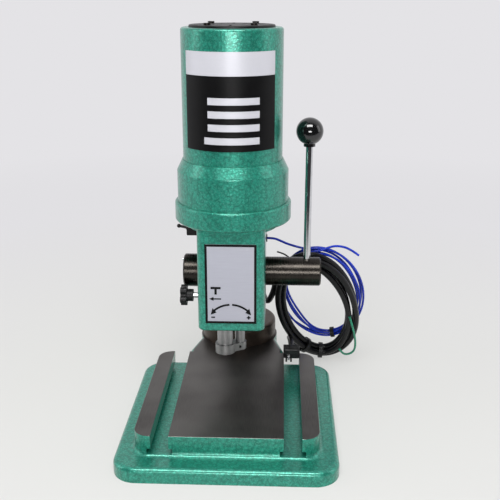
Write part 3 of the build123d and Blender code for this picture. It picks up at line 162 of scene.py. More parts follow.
# in-line plug at the end of the power cable: a ribbed moulding that lies across the right slot
plug = {"x": 69, "front": 41.3, "rear": 56.0, "floor": 39.2, "width": 19.0, "height": 12.5, "edge": 1.6,
        "ribs": 4, "ribProud": 1.3, "ribWidth": 1.2, "ribEdge": 0.4, "cableZ": 46.0}
plugMesh = bmesh.new()
plugLength = plug["rear"] - plug["front"]
addBlock(plugMesh, (plug["width"], plugLength, plug["height"]),
         (plug["x"], plug["front"] + plugLength / 2, plug["floor"] + plug["height"] / 2), plug["edge"])
ribHeight = plug["height"] + plug["ribProud"]
for i in range(plug["ribs"]):
    ribY = plug["front"] + plugLength * (i + 1) / (plug["ribs"] + 1)
    addBlock(plugMesh, (plug["width"] + plug["ribProud"], plug["ribWidth"], ribHeight),
             (plug["x"], ribY, plug["floor"] + ribHeight / 2), plug["ribEdge"])

# strain relief rings round the cable, each smaller than the one before
neck = {"rings": 3, "radius": 5.2, "step": 0.5, "taper": 0.3, "width": 1.5, "pitch": 1.9, "start": 0.6,
        "facets": 32}
for i in range(neck["rings"]):
    radius = neck["radius"] - neck["step"] * i
    ring = bmesh.ops.create_cone(plugMesh, cap_ends=True, segments=neck["facets"], radius1=radius,
                                 radius2=radius - neck["taper"], depth=neck["width"])["verts"]
    bmesh.ops.rotate(plugMesh, cent=(0, 0, 0), matrix=Matrix.Rotation(-math.pi / 2, 3, "X"), verts=ring)
    ringY = plug["rear"] + neck["start"] + neck["pitch"] * i
    bmesh.ops.translate(plugMesh, vec=(plug["x"], ringY, plug["cableZ"]), verts=ring)

# two latches with the tongue between them, all drooping to the table
terminal = {"x": plug["x"] - 3.6, "droop": 14}
latch = {"size": (2.2, 12.0, 2.4), "halfApart": 2.9, "reach": 4.0, "lift": 2.8, "edge": 0.5}
tongue = {"size": (2.6, 9.0, 0.8), "reach": 3.2, "lift": 3.4, "edge": 0.2}
tongueRoot = {"size": (3.6, 3.0, 2.4), "reach": 0.6, "lift": 4.4, "edge": 0.4}
for side in (-1, 1):
    latchX = terminal["x"] + side * latch["halfApart"]
    addBlock(plugMesh, latch["size"], (latchX, plug["front"] - latch["reach"], plug["floor"] + latch["lift"]),
             latch["edge"], terminal["droop"])
plugBody = makePiece("plugBody", plugMesh, "stand")
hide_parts("power_connector")
terminalMesh = bmesh.new()
for block in (tongue, tongueRoot):
    place = (terminal["x"], plug["front"] - block["reach"], plug["floor"] + block["lift"])
    addBlock(terminalMesh, block["size"], place, block["edge"], terminal["droop"])
plugTerminal = makePiece("plugTerminal", terminalMesh, "stand")

# mains cable: from the gland under the arm, forward and up into its coil, and back to the plug
powerCable = {"diameter": 7.5, "length": 1.88, "exit": (25, 150, 149),
              "leadIn": [(25, 150, 122), (28, 135, 101), (33.5, 112, 91.5), (39.5, 88, 96)],
              "start": 155, "wound": 1381, "slot": 8, "slotsApart": 90, "tight": 5.5, "depth": 5.35,
              "fanOut": [(-30, 50, 2.0)], "fanIn": [(45, 75, 5.0)], "leadOut": (68, 89, 44),
              "straight": 17, "endGap": 0.5}
route = [powerCable["exit"], *powerCable["leadIn"], *windings(cableCoil, powerCable), powerCable["leadOut"],
         (plug["x"], plug["rear"] + powerCable["straight"], plug["cableZ"]),
         (plug["x"], plug["rear"] + powerCable["endGap"], plug["cableZ"])]
powerCord = makeCord("powerCord", route, powerCable["diameter"])
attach(powerCord, "stand")
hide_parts("power_cable", "power_cable_coil", "cable_tail")

# control wire: from the grommet behind the head into its own coil, with a free end off the top
controlWire = {"diameter": 2.8, "length": 2.22, "exit": (38, 38.07, 197),
               "leadIn": [(46, 38.07, 197), (54, 41.5, 192.5), (63, 47.5, 186.5)],
               "start": 98, "wound": 360 * 5 + 18, "slot": 0, "slotsApart": 60, "tight": 3.9, "depth": 3.8,
               "fanOut": [(196, 48, 6.0)], "fanIn": [(205, 52, 7.0), (20, 50, 1.5)], "tailFrom": 80,
               "tail": [(14, 0, 5.5), (27, 2, 4.5), (38, 5, -1), (47, 8, -8.5)]}
route = [controlWire["exit"], *controlWire["leadIn"], *windings(wireCoil, controlWire)]
tailRoot = onCoil(wireCoil, controlWire["tailFrom"])
route += [tuple(a + b for a, b in zip(tailRoot, step)) for step in controlWire["tail"]]
controlCord = makeCord("controlCord", route, controlWire["diameter"])
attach(controlCord, "stand")
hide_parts("control_wire", "control_wire_coil", "wire_tail")

# earth wire: out of the mains coil, down its right side and round to a bare end
earth = {"diameter": 2.8, "length": 0.096,
         "points": [(142.2, 78.4, 81.5), (147.0, 84.5, 65.0), (152.3, 95.5, 44.0), (154.0, 106.0, 26.0),
                    (151.0, 110.5, 16.5), (143.0, 112.5, 12.5), (137.0, 112.5, 15.0), (133.2, 112.8, 21.0)]}
earthCord = makeCord("earthCord", earth["points"], earth["diameter"])
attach(earthCord, "stand")
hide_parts("earth_wire")
for cord in (powerCord, controlCord, earthCord):
    print(cord.name, "spline", round(cord.data.splines[0].calc_length(), 3), "m")
print("camera and cords are in")


# linear colour of an sRGB hex code
def srgb(code):
    parts = [int(code[i:i + 2], 16) / 255 for i in (1, 3, 5)]
    return [v / 12.92 if v <= 0.04045 else ((v + 0.055) / 1.055) ** 2.4 for v in parts] + [1.0]


# a node with its settings, and its inputs given as values or as links
def addNode(tree, kind, inputs=None, **settings):
    node = tree.nodes.new(kind)
    for name, value in settings.items():
        setattr(node, name, value)
    for name, value in (inputs or {}).items():
        if isinstance(value, bpy.types.NodeSocket):
            tree.links.new(value, node.inputs[name])
        else:
            node.inputs[name].default_value = value
    return node


def startMaterial(name):
    material = bpy.data.materials.new(name)
    material.use_nodes = True
    tree = material.node_tree
    tree.nodes.clear()
    return material, tree, addNode(tree, "ShaderNodeTexCoord").outputs["Object"]


def finishMaterial(material, shaderInputs):
    tree = material.node_tree
    shader = addNode(tree, "ShaderNodeBsdfPrincipled", shaderInputs)
    addNode(tree, "ShaderNodeOutputMaterial", {"Surface": shader.outputs[0]})
    return material


# texture scale for a feature of this many mm
def perMm(size):
    return 1000 / size


# a Mix node's inputs go by number: 0 is the factor, 2 and 3 are values, 6 and 7 are colours
noiseSpan = {"From Min": 0.3, "From Max": 0.7}  # where most of a noise texture lies
wearSpan = {"From Min": 0.35, "From Max": 0.7}  # begins later, so a little more stays fresh
patchSpan = {"From Min": 0.35, "From Max": 0.65}  # narrower, for broad patches with clearer edges

# hammertone enamel: aluminium flake in the paint draws into shallow dimples, so it is satin; its glints in
# spots are painted highlights, a paler teal mixed into the colour on the specks; its 3 mm cells are near
# their real size, and the specks are drawn coarser so that they show
hammertone = {"base": "#26937d", "deep": "#146a59", "paintedGlint": "#7cd6c5", "cell": 3.0, "cellBlur": 0.6,
              "warpSize": 9.0, "warpBy": 3.0, "speck": 1.1, "speckHeight": 0.35, "mottle": 0.85,
              "mottleFrom": 0.1, "mottleTo": 0.7, "paintedGlintAmount": 0.35, "paintedGlintFrom": 0.54, "paintedGlintTo": 0.72,
              "roughness": 0.33, "roughBy": 0.06, "metallic": 0.5, "coat": 0.5, "coatRoughness": 0.2,
              "relief": 0.6, "dimple": 0.3}


# colour with painted glints, roughness and height of the enamel
def hammertoneLook(tree, coords):
    warp = addNode(tree, "ShaderNodeTexNoise", {"Vector": coords, "Scale": perMm(hammertone["warpSize"]),
                                                "Detail": 1.0})
    offset = addNode(tree, "ShaderNodeVectorMath", {0: warp.outputs["Color"],
                                                    "Scale": hammertone["warpBy"] * mm}, operation="SCALE")
    moved = addNode(tree, "ShaderNodeVectorMath", {0: coords, 1: offset.outputs[0]},
                    operation="ADD").outputs[0]
    cells = addNode(tree, "ShaderNodeTexVoronoi", {"Vector": moved, "Scale": perMm(hammertone["cell"]),
                                                   "Smoothness": hammertone["cellBlur"]},
                    feature="SMOOTH_F1").outputs["Distance"]
    specks = addNode(tree, "ShaderNodeTexNoise", {"Vector": moved, "Scale": perMm(hammertone["speck"]),
                                                  "Detail": 2.0}).outputs["Fac"]
    mottle = addNode(tree, "ShaderNodeMapRange", {"Value": cells, "From Min": hammertone["mottleFrom"],
                                                  "From Max": hammertone["mottleTo"],
                                                  "To Max": hammertone["mottle"]}).outputs[0]
    colour = addNode(tree, "ShaderNodeMix", {0: mottle, 6: srgb(hammertone["base"]),
                                             7: srgb(hammertone["deep"])}, data_type="RGBA").outputs[2]
    # painted highlight: where the specks rise, a paler teal is mixed into the colour as glints
    paintedGlint = addNode(tree, "ShaderNodeMapRange", {"Value": specks, "From Min": hammertone["paintedGlintFrom"],
                                                 "From Max": hammertone["paintedGlintTo"],
                                                 "To Max": hammertone["paintedGlintAmount"]}).outputs[0]
    colour = addNode(tree, "ShaderNodeMix", {0: paintedGlint, 6: colour, 7: srgb(hammertone["paintedGlint"])},
                     data_type="RGBA").outputs[2]
    height = addNode(tree, "ShaderNodeMath", {0: specks, 1: hammertone["speckHeight"], 2: cells},
                     operation="MULTIPLY_ADD").outputs[0]
    rough = addNode(tree, "ShaderNodeMapRange", {
        "Value": specks, **noiseSpan, "To Min": hammertone["roughness"] + hammertone["roughBy"],
        "To Max": hammertone["roughness"] - hammertone["roughBy"]}).outputs[0]
    return colour, rough, height


def enamel(name):
    material, tree, coords = startMaterial(name)
    colour, rough, height = hammertoneLook(tree, coords)
    relief = addNode(tree, "ShaderNodeBump", {"Height": height, "Strength": hammertone["relief"],
                                              "Distance": hammertone["dimple"] * mm}).outputs[0]
    return finishMaterial(material, {"Base Color": colour, "Roughness": rough, "Normal": relief,
                                     "Metallic": hammertone["metallic"], "Coat Weight": hammertone["coat"],
                                     "Coat Roughness": hammertone["coatRoughness"]})


# surface-ground cast iron on top of the enamelled base: dark grey, with grinding marks along the table,
# drawn coarser than real ones so that they show
groundTop = {"colour": "#5e5c59", "shade": "#454240", "mark": "#767370", "height": 38.6, "fade": 0.15,
             "marks": 0.6, "stretch": 0.04, "markShare": 0.3, "patch": 70.0, "roughness": 0.34,
             "roughBy": 0.05, "metallic": 0.9, "relief": 0.05}


# one material for the base: enamel below the height of the ground top, and iron on it
def enamelledBase(name):
    material, tree, coords = startMaterial(name)
    colour, rough, height = hammertoneLook(tree, coords)
    place = addNode(tree, "ShaderNodeSeparateXYZ", {0: coords}).outputs
    isTop = addNode(tree, "ShaderNodeMapRange", {"Value": place["Z"],
                                                 "From Min": (groundTop["height"] - groundTop["fade"]) * mm,
                                                 "From Max": groundTop["height"] * mm}).outputs[0]
    along = addNode(tree, "ShaderNodeMapping", {"Vector": coords,
                                                "Scale": (1.0, groundTop["stretch"], 1.0)}).outputs[0]
    marks = addNode(tree, "ShaderNodeTexNoise", {"Vector": along, "Scale": perMm(groundTop["marks"]),
                                                 "Detail": 2.0}).outputs["Fac"]
    patches = addNode(tree, "ShaderNodeTexNoise", {"Vector": coords, "Scale": perMm(groundTop["patch"]),
                                                   "Detail": 2.0}).outputs["Fac"]
    patch = addNode(tree, "ShaderNodeMapRange", {"Value": patches, **patchSpan}).outputs[0]
    iron = addNode(tree, "ShaderNodeMix", {0: patch, 6: srgb(groundTop["colour"]),
                                           7: srgb(groundTop["shade"])}, data_type="RGBA").outputs[2]
    mark = addNode(tree, "ShaderNodeMapRange", {"Value": marks, **noiseSpan,
                                                "To Max": groundTop["markShare"]}).outputs[0]
    iron = addNode(tree, "ShaderNodeMix", {0: mark, 6: iron, 7: srgb(groundTop["mark"])},
                   data_type="RGBA").outputs[2]
    ironRough = addNode(tree, "ShaderNodeMapRange", {
        "Value": marks, **noiseSpan, "To Min": groundTop["roughness"] - groundTop["roughBy"],
        "To Max": groundTop["roughness"] + groundTop["roughBy"]}).outputs[0]
    relief = addNode(tree, "ShaderNodeBump", {
        "Height": addNode(tree, "ShaderNodeMix", {0: isTop, 2: height, 3: marks}).outputs[0],
        "Strength": addNode(tree, "ShaderNodeMix", {0: isTop, 2: hammertone["relief"],
                                                    3: groundTop["relief"]}).outputs[0],
        "Distance": hammertone["dimple"] * mm}).outputs[0]
    return finishMaterial(material, {
        "Base Color": addNode(tree, "ShaderNodeMix", {0: isTop, 6: colour, 7: iron},
                              data_type="RGBA").outputs[2],
        "Roughness": addNode(tree, "ShaderNodeMix", {0: isTop, 2: rough, 3: ironRough}).outputs[0],
        "Metallic": addNode(tree, "ShaderNodeMix", {0: isTop, 2: hammertone["metallic"],
                                                    3: groundTop["metallic"]}).outputs[0],
        "Coat Weight": addNode(tree, "ShaderNodeMix", {0: isTop, 2: hammertone["coat"], 3: 0.0}).outputs[0],
        "Coat Roughness": hammertone["coatRoughness"], "Normal": relief})


turning = {"grime": 12.0, "roughBy": 0.06, "relief": 0.2, "groove": 0.05}


# lathe-turned metal: rings round an axis, drawn coarser than real ones, seen as a soft sheen across them
def turnedMetal(name, colour, worn, roughness, axis, centre, pitch, metallic=1.0):
    material, tree, coords = startMaterial(name)
    centred = addNode(tree, "ShaderNodeMapping", {"Vector": coords,
                                                  "Location": inMetres([[-v for v in centre]])[0]})
    place = addNode(tree, "ShaderNodeSeparateXYZ", {0: centred.outputs[0]}).outputs
    rings = addNode(tree, "ShaderNodeTexNoise", {"W": place[axis], "Scale": perMm(pitch), "Detail": 3.0},
                    noise_dimensions="1D").outputs["Fac"]
    grime = addNode(tree, "ShaderNodeTexNoise", {"Vector": coords, "Scale": perMm(turning["grime"]),
                                                 "Detail": 4.0}).outputs["Fac"]
    wear = addNode(tree, "ShaderNodeMapRange", {"Value": grime, **wearSpan}).outputs[0]
    tone = addNode(tree, "ShaderNodeMix", {0: wear, 6: srgb(colour), 7: srgb(worn)},
                   data_type="RGBA").outputs[2]
    rough = addNode(tree, "ShaderNodeMapRange", {"Value": rings, **noiseSpan,
                                                 "To Min": roughness - turning["roughBy"],
                                                 "To Max": roughness + turning["roughBy"]}).outputs[0]
    relief = addNode(tree, "ShaderNodeBump", {"Height": rings, "Strength": turning["relief"],
                                              "Distance": turning["groove"] * mm}).outputs[0]
    return finishMaterial(material, {"Base Color": tone, "Roughness": rough, "Normal": relief,
                                     "Metallic": metallic})


# cast, plated or oxide-black metal with an even grain, which lifts the roughness more than it lowers it
def plainMetal(name, colour, worn, roughness, grain):
    material, tree, coords = startMaterial(name)
    speckle = addNode(tree, "ShaderNodeTexNoise", {"Vector": coords, "Scale": perMm(grain),
                                                   "Detail": 3.0}).outputs["Fac"]
    wear = addNode(tree, "ShaderNodeMapRange", {"Value": speckle, **wearSpan}).outputs[0]
    tone = addNode(tree, "ShaderNodeMix", {0: wear, 6: srgb(colour), 7: srgb(worn)},
                   data_type="RGBA").outputs[2]
    rough = addNode(tree, "ShaderNodeMapRange", {"Value": speckle, **noiseSpan, "To Min": roughness - 0.04,
                                                 "To Max": roughness + 0.06}).outputs[0]
    return finishMaterial(material, {"Base Color": tone, "Roughness": rough, "Metallic": 1.0})


moulding = {"driftOver": 12, "roughBy": 0.05, "relief": 0.3, "coatRoughness": 0.05}


# moulded plastic, rubber or ink: a grain drawn coarser than the real one, and a tone that drifts slowly
def plastic(name, colour, worn, roughness, grain, coat=0.0, depth=0.04, gloss=0.5):
    material, tree, coords = startMaterial(name)
    texture = addNode(tree, "ShaderNodeTexNoise", {"Vector": coords, "Scale": perMm(grain),
                                                   "Detail": 3.0}).outputs["Fac"]
    broad = addNode(tree, "ShaderNodeTexNoise", {"Vector": coords,
                                                 "Scale": perMm(grain * moulding["driftOver"]),
                                                 "Detail": 2.0}).outputs["Fac"]
    wear = addNode(tree, "ShaderNodeMapRange", {"Value": broad, **patchSpan}).outputs[0]
    tone = addNode(tree, "ShaderNodeMix", {0: wear, 6: srgb(colour), 7: srgb(worn)},
                   data_type="RGBA").outputs[2]
    rough = addNode(tree, "ShaderNodeMapRange", {"Value": texture, **noiseSpan,
                                                 "To Min": roughness - moulding["roughBy"],
                                                 "To Max": roughness + moulding["roughBy"]}).outputs[0]
    relief = addNode(tree, "ShaderNodeBump", {"Height": texture, "Strength": moulding["relief"],
                                              "Distance": depth * mm}).outputs[0]
    return finishMaterial(material, {"Base Color": tone, "Roughness": rough, "Normal": relief, "IOR": 1.5,
                                     "Specular IOR Level": gloss, "Coat Weight": coat,
                                     "Coat Roughness": moulding["coatRoughness"]})


brushing = {"line": 0.5, "stretch": 0.03, "roughBy": 0.04}


# anodised aluminium label stock, brushed across in lines drawn coarser than real ones
def satinPlate(name, colour, shade, roughness, metallic):
    material, tree, coords = startMaterial(name)
    across = addNode(tree, "ShaderNodeMapping", {"Vector": coords,
                                                 "Scale": (brushing["stretch"], 1.0, 1.0)}).outputs[0]
    lines = addNode(tree, "ShaderNodeTexNoise", {"Vector": across, "Scale": perMm(brushing["line"]),
                                                 "Detail": 2.0}).outputs["Fac"]
    tone = addNode(tree, "ShaderNodeMix", {0: lines, 6: srgb(colour), 7: srgb(shade)},
                   data_type="RGBA").outputs[2]
    rough = addNode(tree, "ShaderNodeMapRange", {"Value": lines, **noiseSpan,
                                                 "To Min": roughness - brushing["roughBy"],
                                                 "To Max": roughness + brushing["roughBy"]}).outputs[0]
    return finishMaterial(material, {"Base Color": tone, "Roughness": rough, "Metallic": metallic})


greenEnamel = enamel("greenHammertoneEnamel")
baseMaterial = enamelledBase("enamelAndGroundIron")
quillAxis, columnAxis, motorAxis, hubAxis = (-9, -15, 0), (0, 121, 0), (0, 5, 0), (0, hub["y"], hub["z"])
# oiled steel, turned and left dark: a soft bright line along it
gunmetal = turnedMetal("turnedGunmetal", "#3b3834", "#312e2b", 0.27, "X", hubAxis, 0.8)
# cylindrically ground steel: bright, with soft reflections
groundSteel = turnedMetal("groundSteel", "#b4b5b6", "#a8a9ab", 0.30, "Z", quillAxis, 0.5)
# turned steel tumbled satin: grey, with broad highlights
satinSteel = turnedMetal("satinSteel", "#adadad", "#989898", 0.40, "Z", quillAxis, 0.7)
# turned cast iron, browned with handling: dark and warm
darkIron = turnedMetal("machinedCastIron", "#524840", "#3f3731", 0.38, "Z", columnAxis, 1.0, 0.85)
# stacked motor sheets: mid grey, with fine edges all round
laminations = turnedMetal("laminatedSteel", "#6f7072", "#57585a", 0.45, "Z", motorAxis, 0.5)
# varnished winding wire: reddish, with a fine sheen
copper = turnedMetal("enamelledCopper", "#a5603a", "#8a4a2a", 0.38, "Z", motorAxis, 0.9)
# oil-filled sintered bearing: dull gold
bronze = turnedMetal("sinteredBronze", "#a87f45", "#8c6836", 0.45, "Z", quillAxis, 0.6)
# hard chrome plate: a mirror with a trace of grain
chrome = plainMetal("brightChrome", "#dcdddf", "#cfd0d2", 0.08, 6.0)
# screws in black oxide: dark and dull
blackSteel = plainMetal("blackOxideSteel", "#34312f", "#262423", 0.36, 1.5)
# sand-cast aluminium: pale grey and matt
castAluminium = plainMetal("castAluminium", "#a9acae", "#8f9294", 0.5, 2.0)
# glass-filled nylon: black, with a fine moulded texture
blackPlastic = plastic("mouldedBlackNylon", "#0b0b0c", "#121213", 0.42, 0.8, gloss=0.3)
# phenolic ball, polished to a deep gloss
glossBlack = plastic("polishedBlackPhenolic", "#070708", "#0c0c0d", 0.12, 3.0, 0.6, 0.005)
# soft PVC sheath, extruded: black with a thin shine
cablePvc = plastic("blackCablePvc", "#08080a", "#0d0d0f", 0.3, 1.5, gloss=0.22)
# grommet rubber: matt, and a little paler than the cable
rubber = plastic("blackRubber", "#111111", "#1a1a1a", 0.55, 1.0)
# PVC wire insulation: clear colours with a soft shine
bluePvc = plastic("bluePvc", "#0f33b4", "#0b2592", 0.33, 2.0, gloss=0.3)
greenPvc = plastic("greenPvc", "#1a8a68", "#137055", 0.35, 2.0)
# screen ink baked on the plates: dense black, nearly matt
labelInk = plastic("screenPrintedBlack", "#070708", "#0a0a0b", 0.42, 1.0, gloss=0.15)
# anodised label stock: satin silver, natural and in a paler tone
labelSilver = satinPlate("anodisedLabel", "#a3a4ae", "#9b9ca6", 0.46, 0.2)
nameSilver = satinPlate("whiteAnodisedLabel", "#bcbcc2", "#b4b4bb", 0.42, 0.15)

finishes = {
    "green_enamel": greenEnamel, "dark_iron": darkIron, "black_steel": blackSteel,
    "ground_steel": groundSteel, "gunmetal_steel": gunmetal, "black_plastic": blackPlastic,
    "label_aluminium": labelSilver, "cast_aluminium": castAluminium, "lamination_steel": laminations,
    "enamelled_copper": copper, "bronze": bronze, "chrome": chrome, "gloss_black": glossBlack,
    "black_rubber": rubber, "blue_plastic": bluePvc, "green_plastic": greenPvc}
ownFinish = {"base": baseMaterial, "motor_nameplate": nameSilver, "depth_collar": satinSteel,
             "quill": satinSteel, "depth_rod": satinSteel}
for part in frame["record"]["subparts"]:
    setMaterial(nodes[part["node"]], ownFinish.get(part["node"], finishes[part["material_slot"]]))
for piece, finish in ((powerCord, cablePvc), (controlCord, bluePvc), (earthCord, greenPvc),
                      (plugBody, blackPlastic), (plugTerminal, groundSteel)):
    setMaterial(piece, finish)
print("materials are in")

depthLabel = {"width": 56.2, "height": 91.4, "centreZ": 170.5, "face": -49.8, "border": 2.6, "ink": 0.12}


# a thin layer of ink standing on the label; the outline is (x, z) round its edge
def addFlat(mesh, outline):
    front = depthLabel["face"] - depthLabel["ink"]
    face = mesh.faces.new([mesh.verts.new((x, front, z)) for x, z in outline])
    out = bmesh.ops.extrude_face_region(mesh, geom=[face])
    moved = [v for v in out["geom"] if isinstance(v, bmesh.types.BMVert)]
    bmesh.ops.translate(mesh, vec=(0, depthLabel["ink"], 0), verts=moved)


# an ink bar centred on (x, z)
def addBar(mesh, x, z, long, thick, upright=False):
    halfX, halfZ = (thick / 2, long / 2) if upright else (long / 2, thick / 2)
    addFlat(mesh, [(x - halfX, z - halfZ), (x + halfX, z - halfZ), (x + halfX, z + halfZ),
                   (x - halfX, z + halfZ)])


signMesh = bmesh.new()
edge = depthLabel["border"]
for side in (-1, 1):
    addBar(signMesh, side * (depthLabel["width"] - edge) / 2, depthLabel["centreZ"], depthLabel["height"],
           edge, True)
    addBar(signMesh, 0, depthLabel["centreZ"] + side * (depthLabel["height"] - edge) / 2,
           depthLabel["width"] - 2 * edge, edge)

# straight arrow to the left, under the sign for the lock knob
arrow = {"tailX": -10.6, "tipX": -23.7, "z": 153.7, "thick": 1.5, "head": 4.6, "headLength": 4.8}
neckX = arrow["tipX"] + arrow["headLength"]
addBar(signMesh, (arrow["tailX"] + neckX) / 2, arrow["z"], arrow["tailX"] - neckX, arrow["thick"])
addFlat(signMesh, [(arrow["tipX"], arrow["z"]), (neckX, arrow["z"] - arrow["head"] / 2),
                   (neckX, arrow["z"] + arrow["head"] / 2)])
knobSign = {"x": -16.5, "top": 167.7, "bar": 11.0, "thick": 2.6, "stemLow": 158.8}
stemTop = knobSign["top"] - knobSign["thick"]
addBar(signMesh, knobSign["x"], knobSign["top"] - knobSign["thick"] / 2, knobSign["bar"], knobSign["thick"])
addBar(signMesh, knobSign["x"], (stemTop + knobSign["stemLow"]) / 2, stemTop - knobSign["stemLow"],
       knobSign["thick"], True)

# minus on the left and plus on the right, with a curved arrow down to each
signs = {"x": 19.6, "z": 132.0, "long": 4.2, "thick": 1.6}
for side in (-1, 1):
    addBar(signMesh, side * signs["x"], signs["z"], signs["long"], signs["thick"])
    plusArm = (signs["long"] - signs["thick"]) / 2
    addBar(signMesh, signs["x"], signs["z"] + side * (signs["thick"] + plusArm) / 2, plusArm,
           signs["thick"], True)
sweep = {"radius": 27.5, "centreZ": 119.5, "thick": 2.2, "from": 3, "to": 41, "head": 6.8,
         "headLength": 6.8, "tipIn": 0.4, "steps": 12}
for side in (-1, 1):
    turns = [math.radians(sweep["from"] + (sweep["to"] - sweep["from"]) * i / sweep["steps"])
             for i in range(sweep["steps"] + 1)]
    rim = [(t, sweep["radius"] + sweep["thick"] / 2) for t in turns]
    rim += [(t, sweep["radius"] - sweep["thick"] / 2) for t in reversed(turns)]
    head = [(turns[-1], sweep["radius"] + sweep["head"] / 2),
            (turns[-1] + sweep["headLength"] / sweep["radius"], sweep["radius"] - sweep["tipIn"]),
            (turns[-1], sweep["radius"] - sweep["head"] / 2)]
    for outline in (rim, head):
        addFlat(signMesh, [(side * r * math.sin(t), sweep["centreZ"] + r * math.cos(t)) for t, r in outline])
setMaterial(makePiece("depthLabelSigns", signMesh, "stand"), labelInk)

# black field and bare bars on the motor's silver plate; each bar is (lower edge, angle at its left end)
motor = {"x": 0, "y": 5.075}
nameplate = {"radius": 55.32, "halfAngle": 56, "bottom": 316, "fieldTop": 392.6, "ink": 0.12,
             "barHeight": 7.2, "barTo": 33.5, "degreesPerStep": 2, "leastSteps": 4,
             "bars": [(363.8, -24), (350.3, -24), (336.8, -24), (323.2, -28.5)]}


# strip bent round the motor, between two angles from the front, made by spinning its section
def curvedStrip(radius, thick, low, high, fromAngle, toAngle):
    strip = bmesh.new()
    section = [strip.verts.new((0, -r, z)) for r, z in ((radius, low), (radius + thick, low),
                                                        (radius + thick, high), (radius, high))]
    loop = [strip.edges.new((section[i], section[(i + 1) % len(section)])) for i in range(len(section))]
    bmesh.ops.rotate(strip, cent=(0, 0, 0), matrix=Matrix.Rotation(math.radians(fromAngle), 3, "Z"),
                     verts=strip.verts)
    steps = max(nameplate["leastSteps"], round((toAngle - fromAngle) / nameplate["degreesPerStep"]))
    bmesh.ops.spin(strip, geom=section + loop, cent=(0, 0, 0), axis=(0, 0, 1),
                   angle=math.radians(toAngle - fromAngle), steps=steps, use_merge=False)
    bmesh.ops.holes_fill(strip, edges=[e for e in strip.edges if e.is_boundary], sides=len(section))
    bmesh.ops.translate(strip, vec=(motor["x"], motor["y"], 0), verts=strip.verts)
    return strip


field = curvedStrip(nameplate["radius"], nameplate["ink"], nameplate["bottom"], nameplate["fieldTop"],
                    -nameplate["halfAngle"], nameplate["halfAngle"])
setMaterial(makePiece("nameplateField", field, "stand"), labelInk)
for number, (low, barFrom) in enumerate(nameplate["bars"]):
    bar = curvedStrip(nameplate["radius"] + nameplate["ink"], nameplate["ink"], low,
                      low + nameplate["barHeight"], barFrom, nameplate["barTo"])
    setMaterial(makePiece(f"nameplateBar{number + 1}", bar, "stand"), nameSilver)
print("labels are in")

# graduations on the dial's outer face: a generic scale of fifty marks, every fifth one longer
dial = {"faceX": -57.0, "radius": 17.2, "short": 1.6, "long": 2.8, "thick": 0.45, "marks": 50,
        "longEvery": 5, "proud": 0.06}
ticks = bmesh.new()
for i in range(dial["marks"]):
    length = dial["short"] if i % dial["longEvery"] else dial["long"]
    mark = bmesh.ops.create_cube(ticks, size=1)["verts"]
    bmesh.ops.scale(ticks, vec=(dial["proud"] * 2, dial["thick"], length), verts=mark)
    bmesh.ops.translate(ticks, vec=(dial["faceX"], 0, dial["radius"] - length / 2), verts=mark)
    bmesh.ops.rotate(ticks, cent=(0, 0, 0), matrix=Matrix.Rotation(math.tau * i / dial["marks"], 3, "X"),
                     verts=mark)
bmesh.ops.translate(ticks, vec=(0, hub["y"], hub["z"]), verts=ticks.verts)
setMaterial(makePiece("dialMarks", ticks, "dial"), nameSilver)

# loose end of the wire bundle's upper tie, cut off and left standing
tieEnd = {"angle": 122, "outward": 5.5, "diameter": 1.8,
          "reach": [(0, 0, 0), (-3, -1, 3), (-9, -2, 6.5), (-15, -3, 8.5)]}
tieRoot = Vector(onCoil(wireCoil, tieEnd["angle"], tieEnd["outward"]))
tieLine = makeCord("tieLine", [tieRoot + Vector(step) for step in tieEnd["reach"]], tieEnd["diameter"])
tieData = bpy.data.meshes.new_from_object(tieLine.evaluated_get(bpy.context.evaluated_depsgraph_get()))
bpy.data.objects.remove(tieLine)
tieMesh = bmesh.new()
tieMesh.from_mesh(tieData)
bmesh.ops.transform(tieMesh, matrix=Matrix.Scale(1 / mm, 4), verts=tieMesh.verts)
setMaterial(makePiece("wireTieEnd", tieMesh, "stand", smooth=True), blackPlastic)
print("small details are in")

# from here on sizes are in metres
room = {"backdrop": "#e4e3e6", "studio": "#38383a", "lamplight": "#ffffff", "ambient": 0.46,
        "dimFrom": 0.05, "dimTo": -0.35}
paper = {"near": "#e0e0de", "fadeFrom": 0.25, "fadeTo": 0.9, "lit": 0.38, "litTo": 1.6, "edge": -0.45,
         "dimBy": -0.75, "span": 80.0}
floorMesh = bmesh.new()
bmesh.ops.create_grid(floorMesh, x_segments=1, y_segments=1, size=paper["span"] / 2)
floorData = bpy.data.meshes.new("paperFloor")
floorMesh.to_mesh(floorData)
floorMesh.free()
floor = bpy.data.objects.new("paperFloor", floorData)
bpy.context.collection.objects.link(floor)


# 1 for rays that show what they hit: from the camera, mirrored, or through glass
def seenRay(tree, path):
    seen = addNode(tree, "ShaderNodeMath", {0: path["Is Camera Ray"], 1: path["Is Glossy Ray"]},
                   operation="MAXIMUM")
    return addNode(tree, "ShaderNodeMath", {0: seen.outputs[0], 1: path["Is Transmission Ray"]},
                   operation="MAXIMUM").outputs[0]


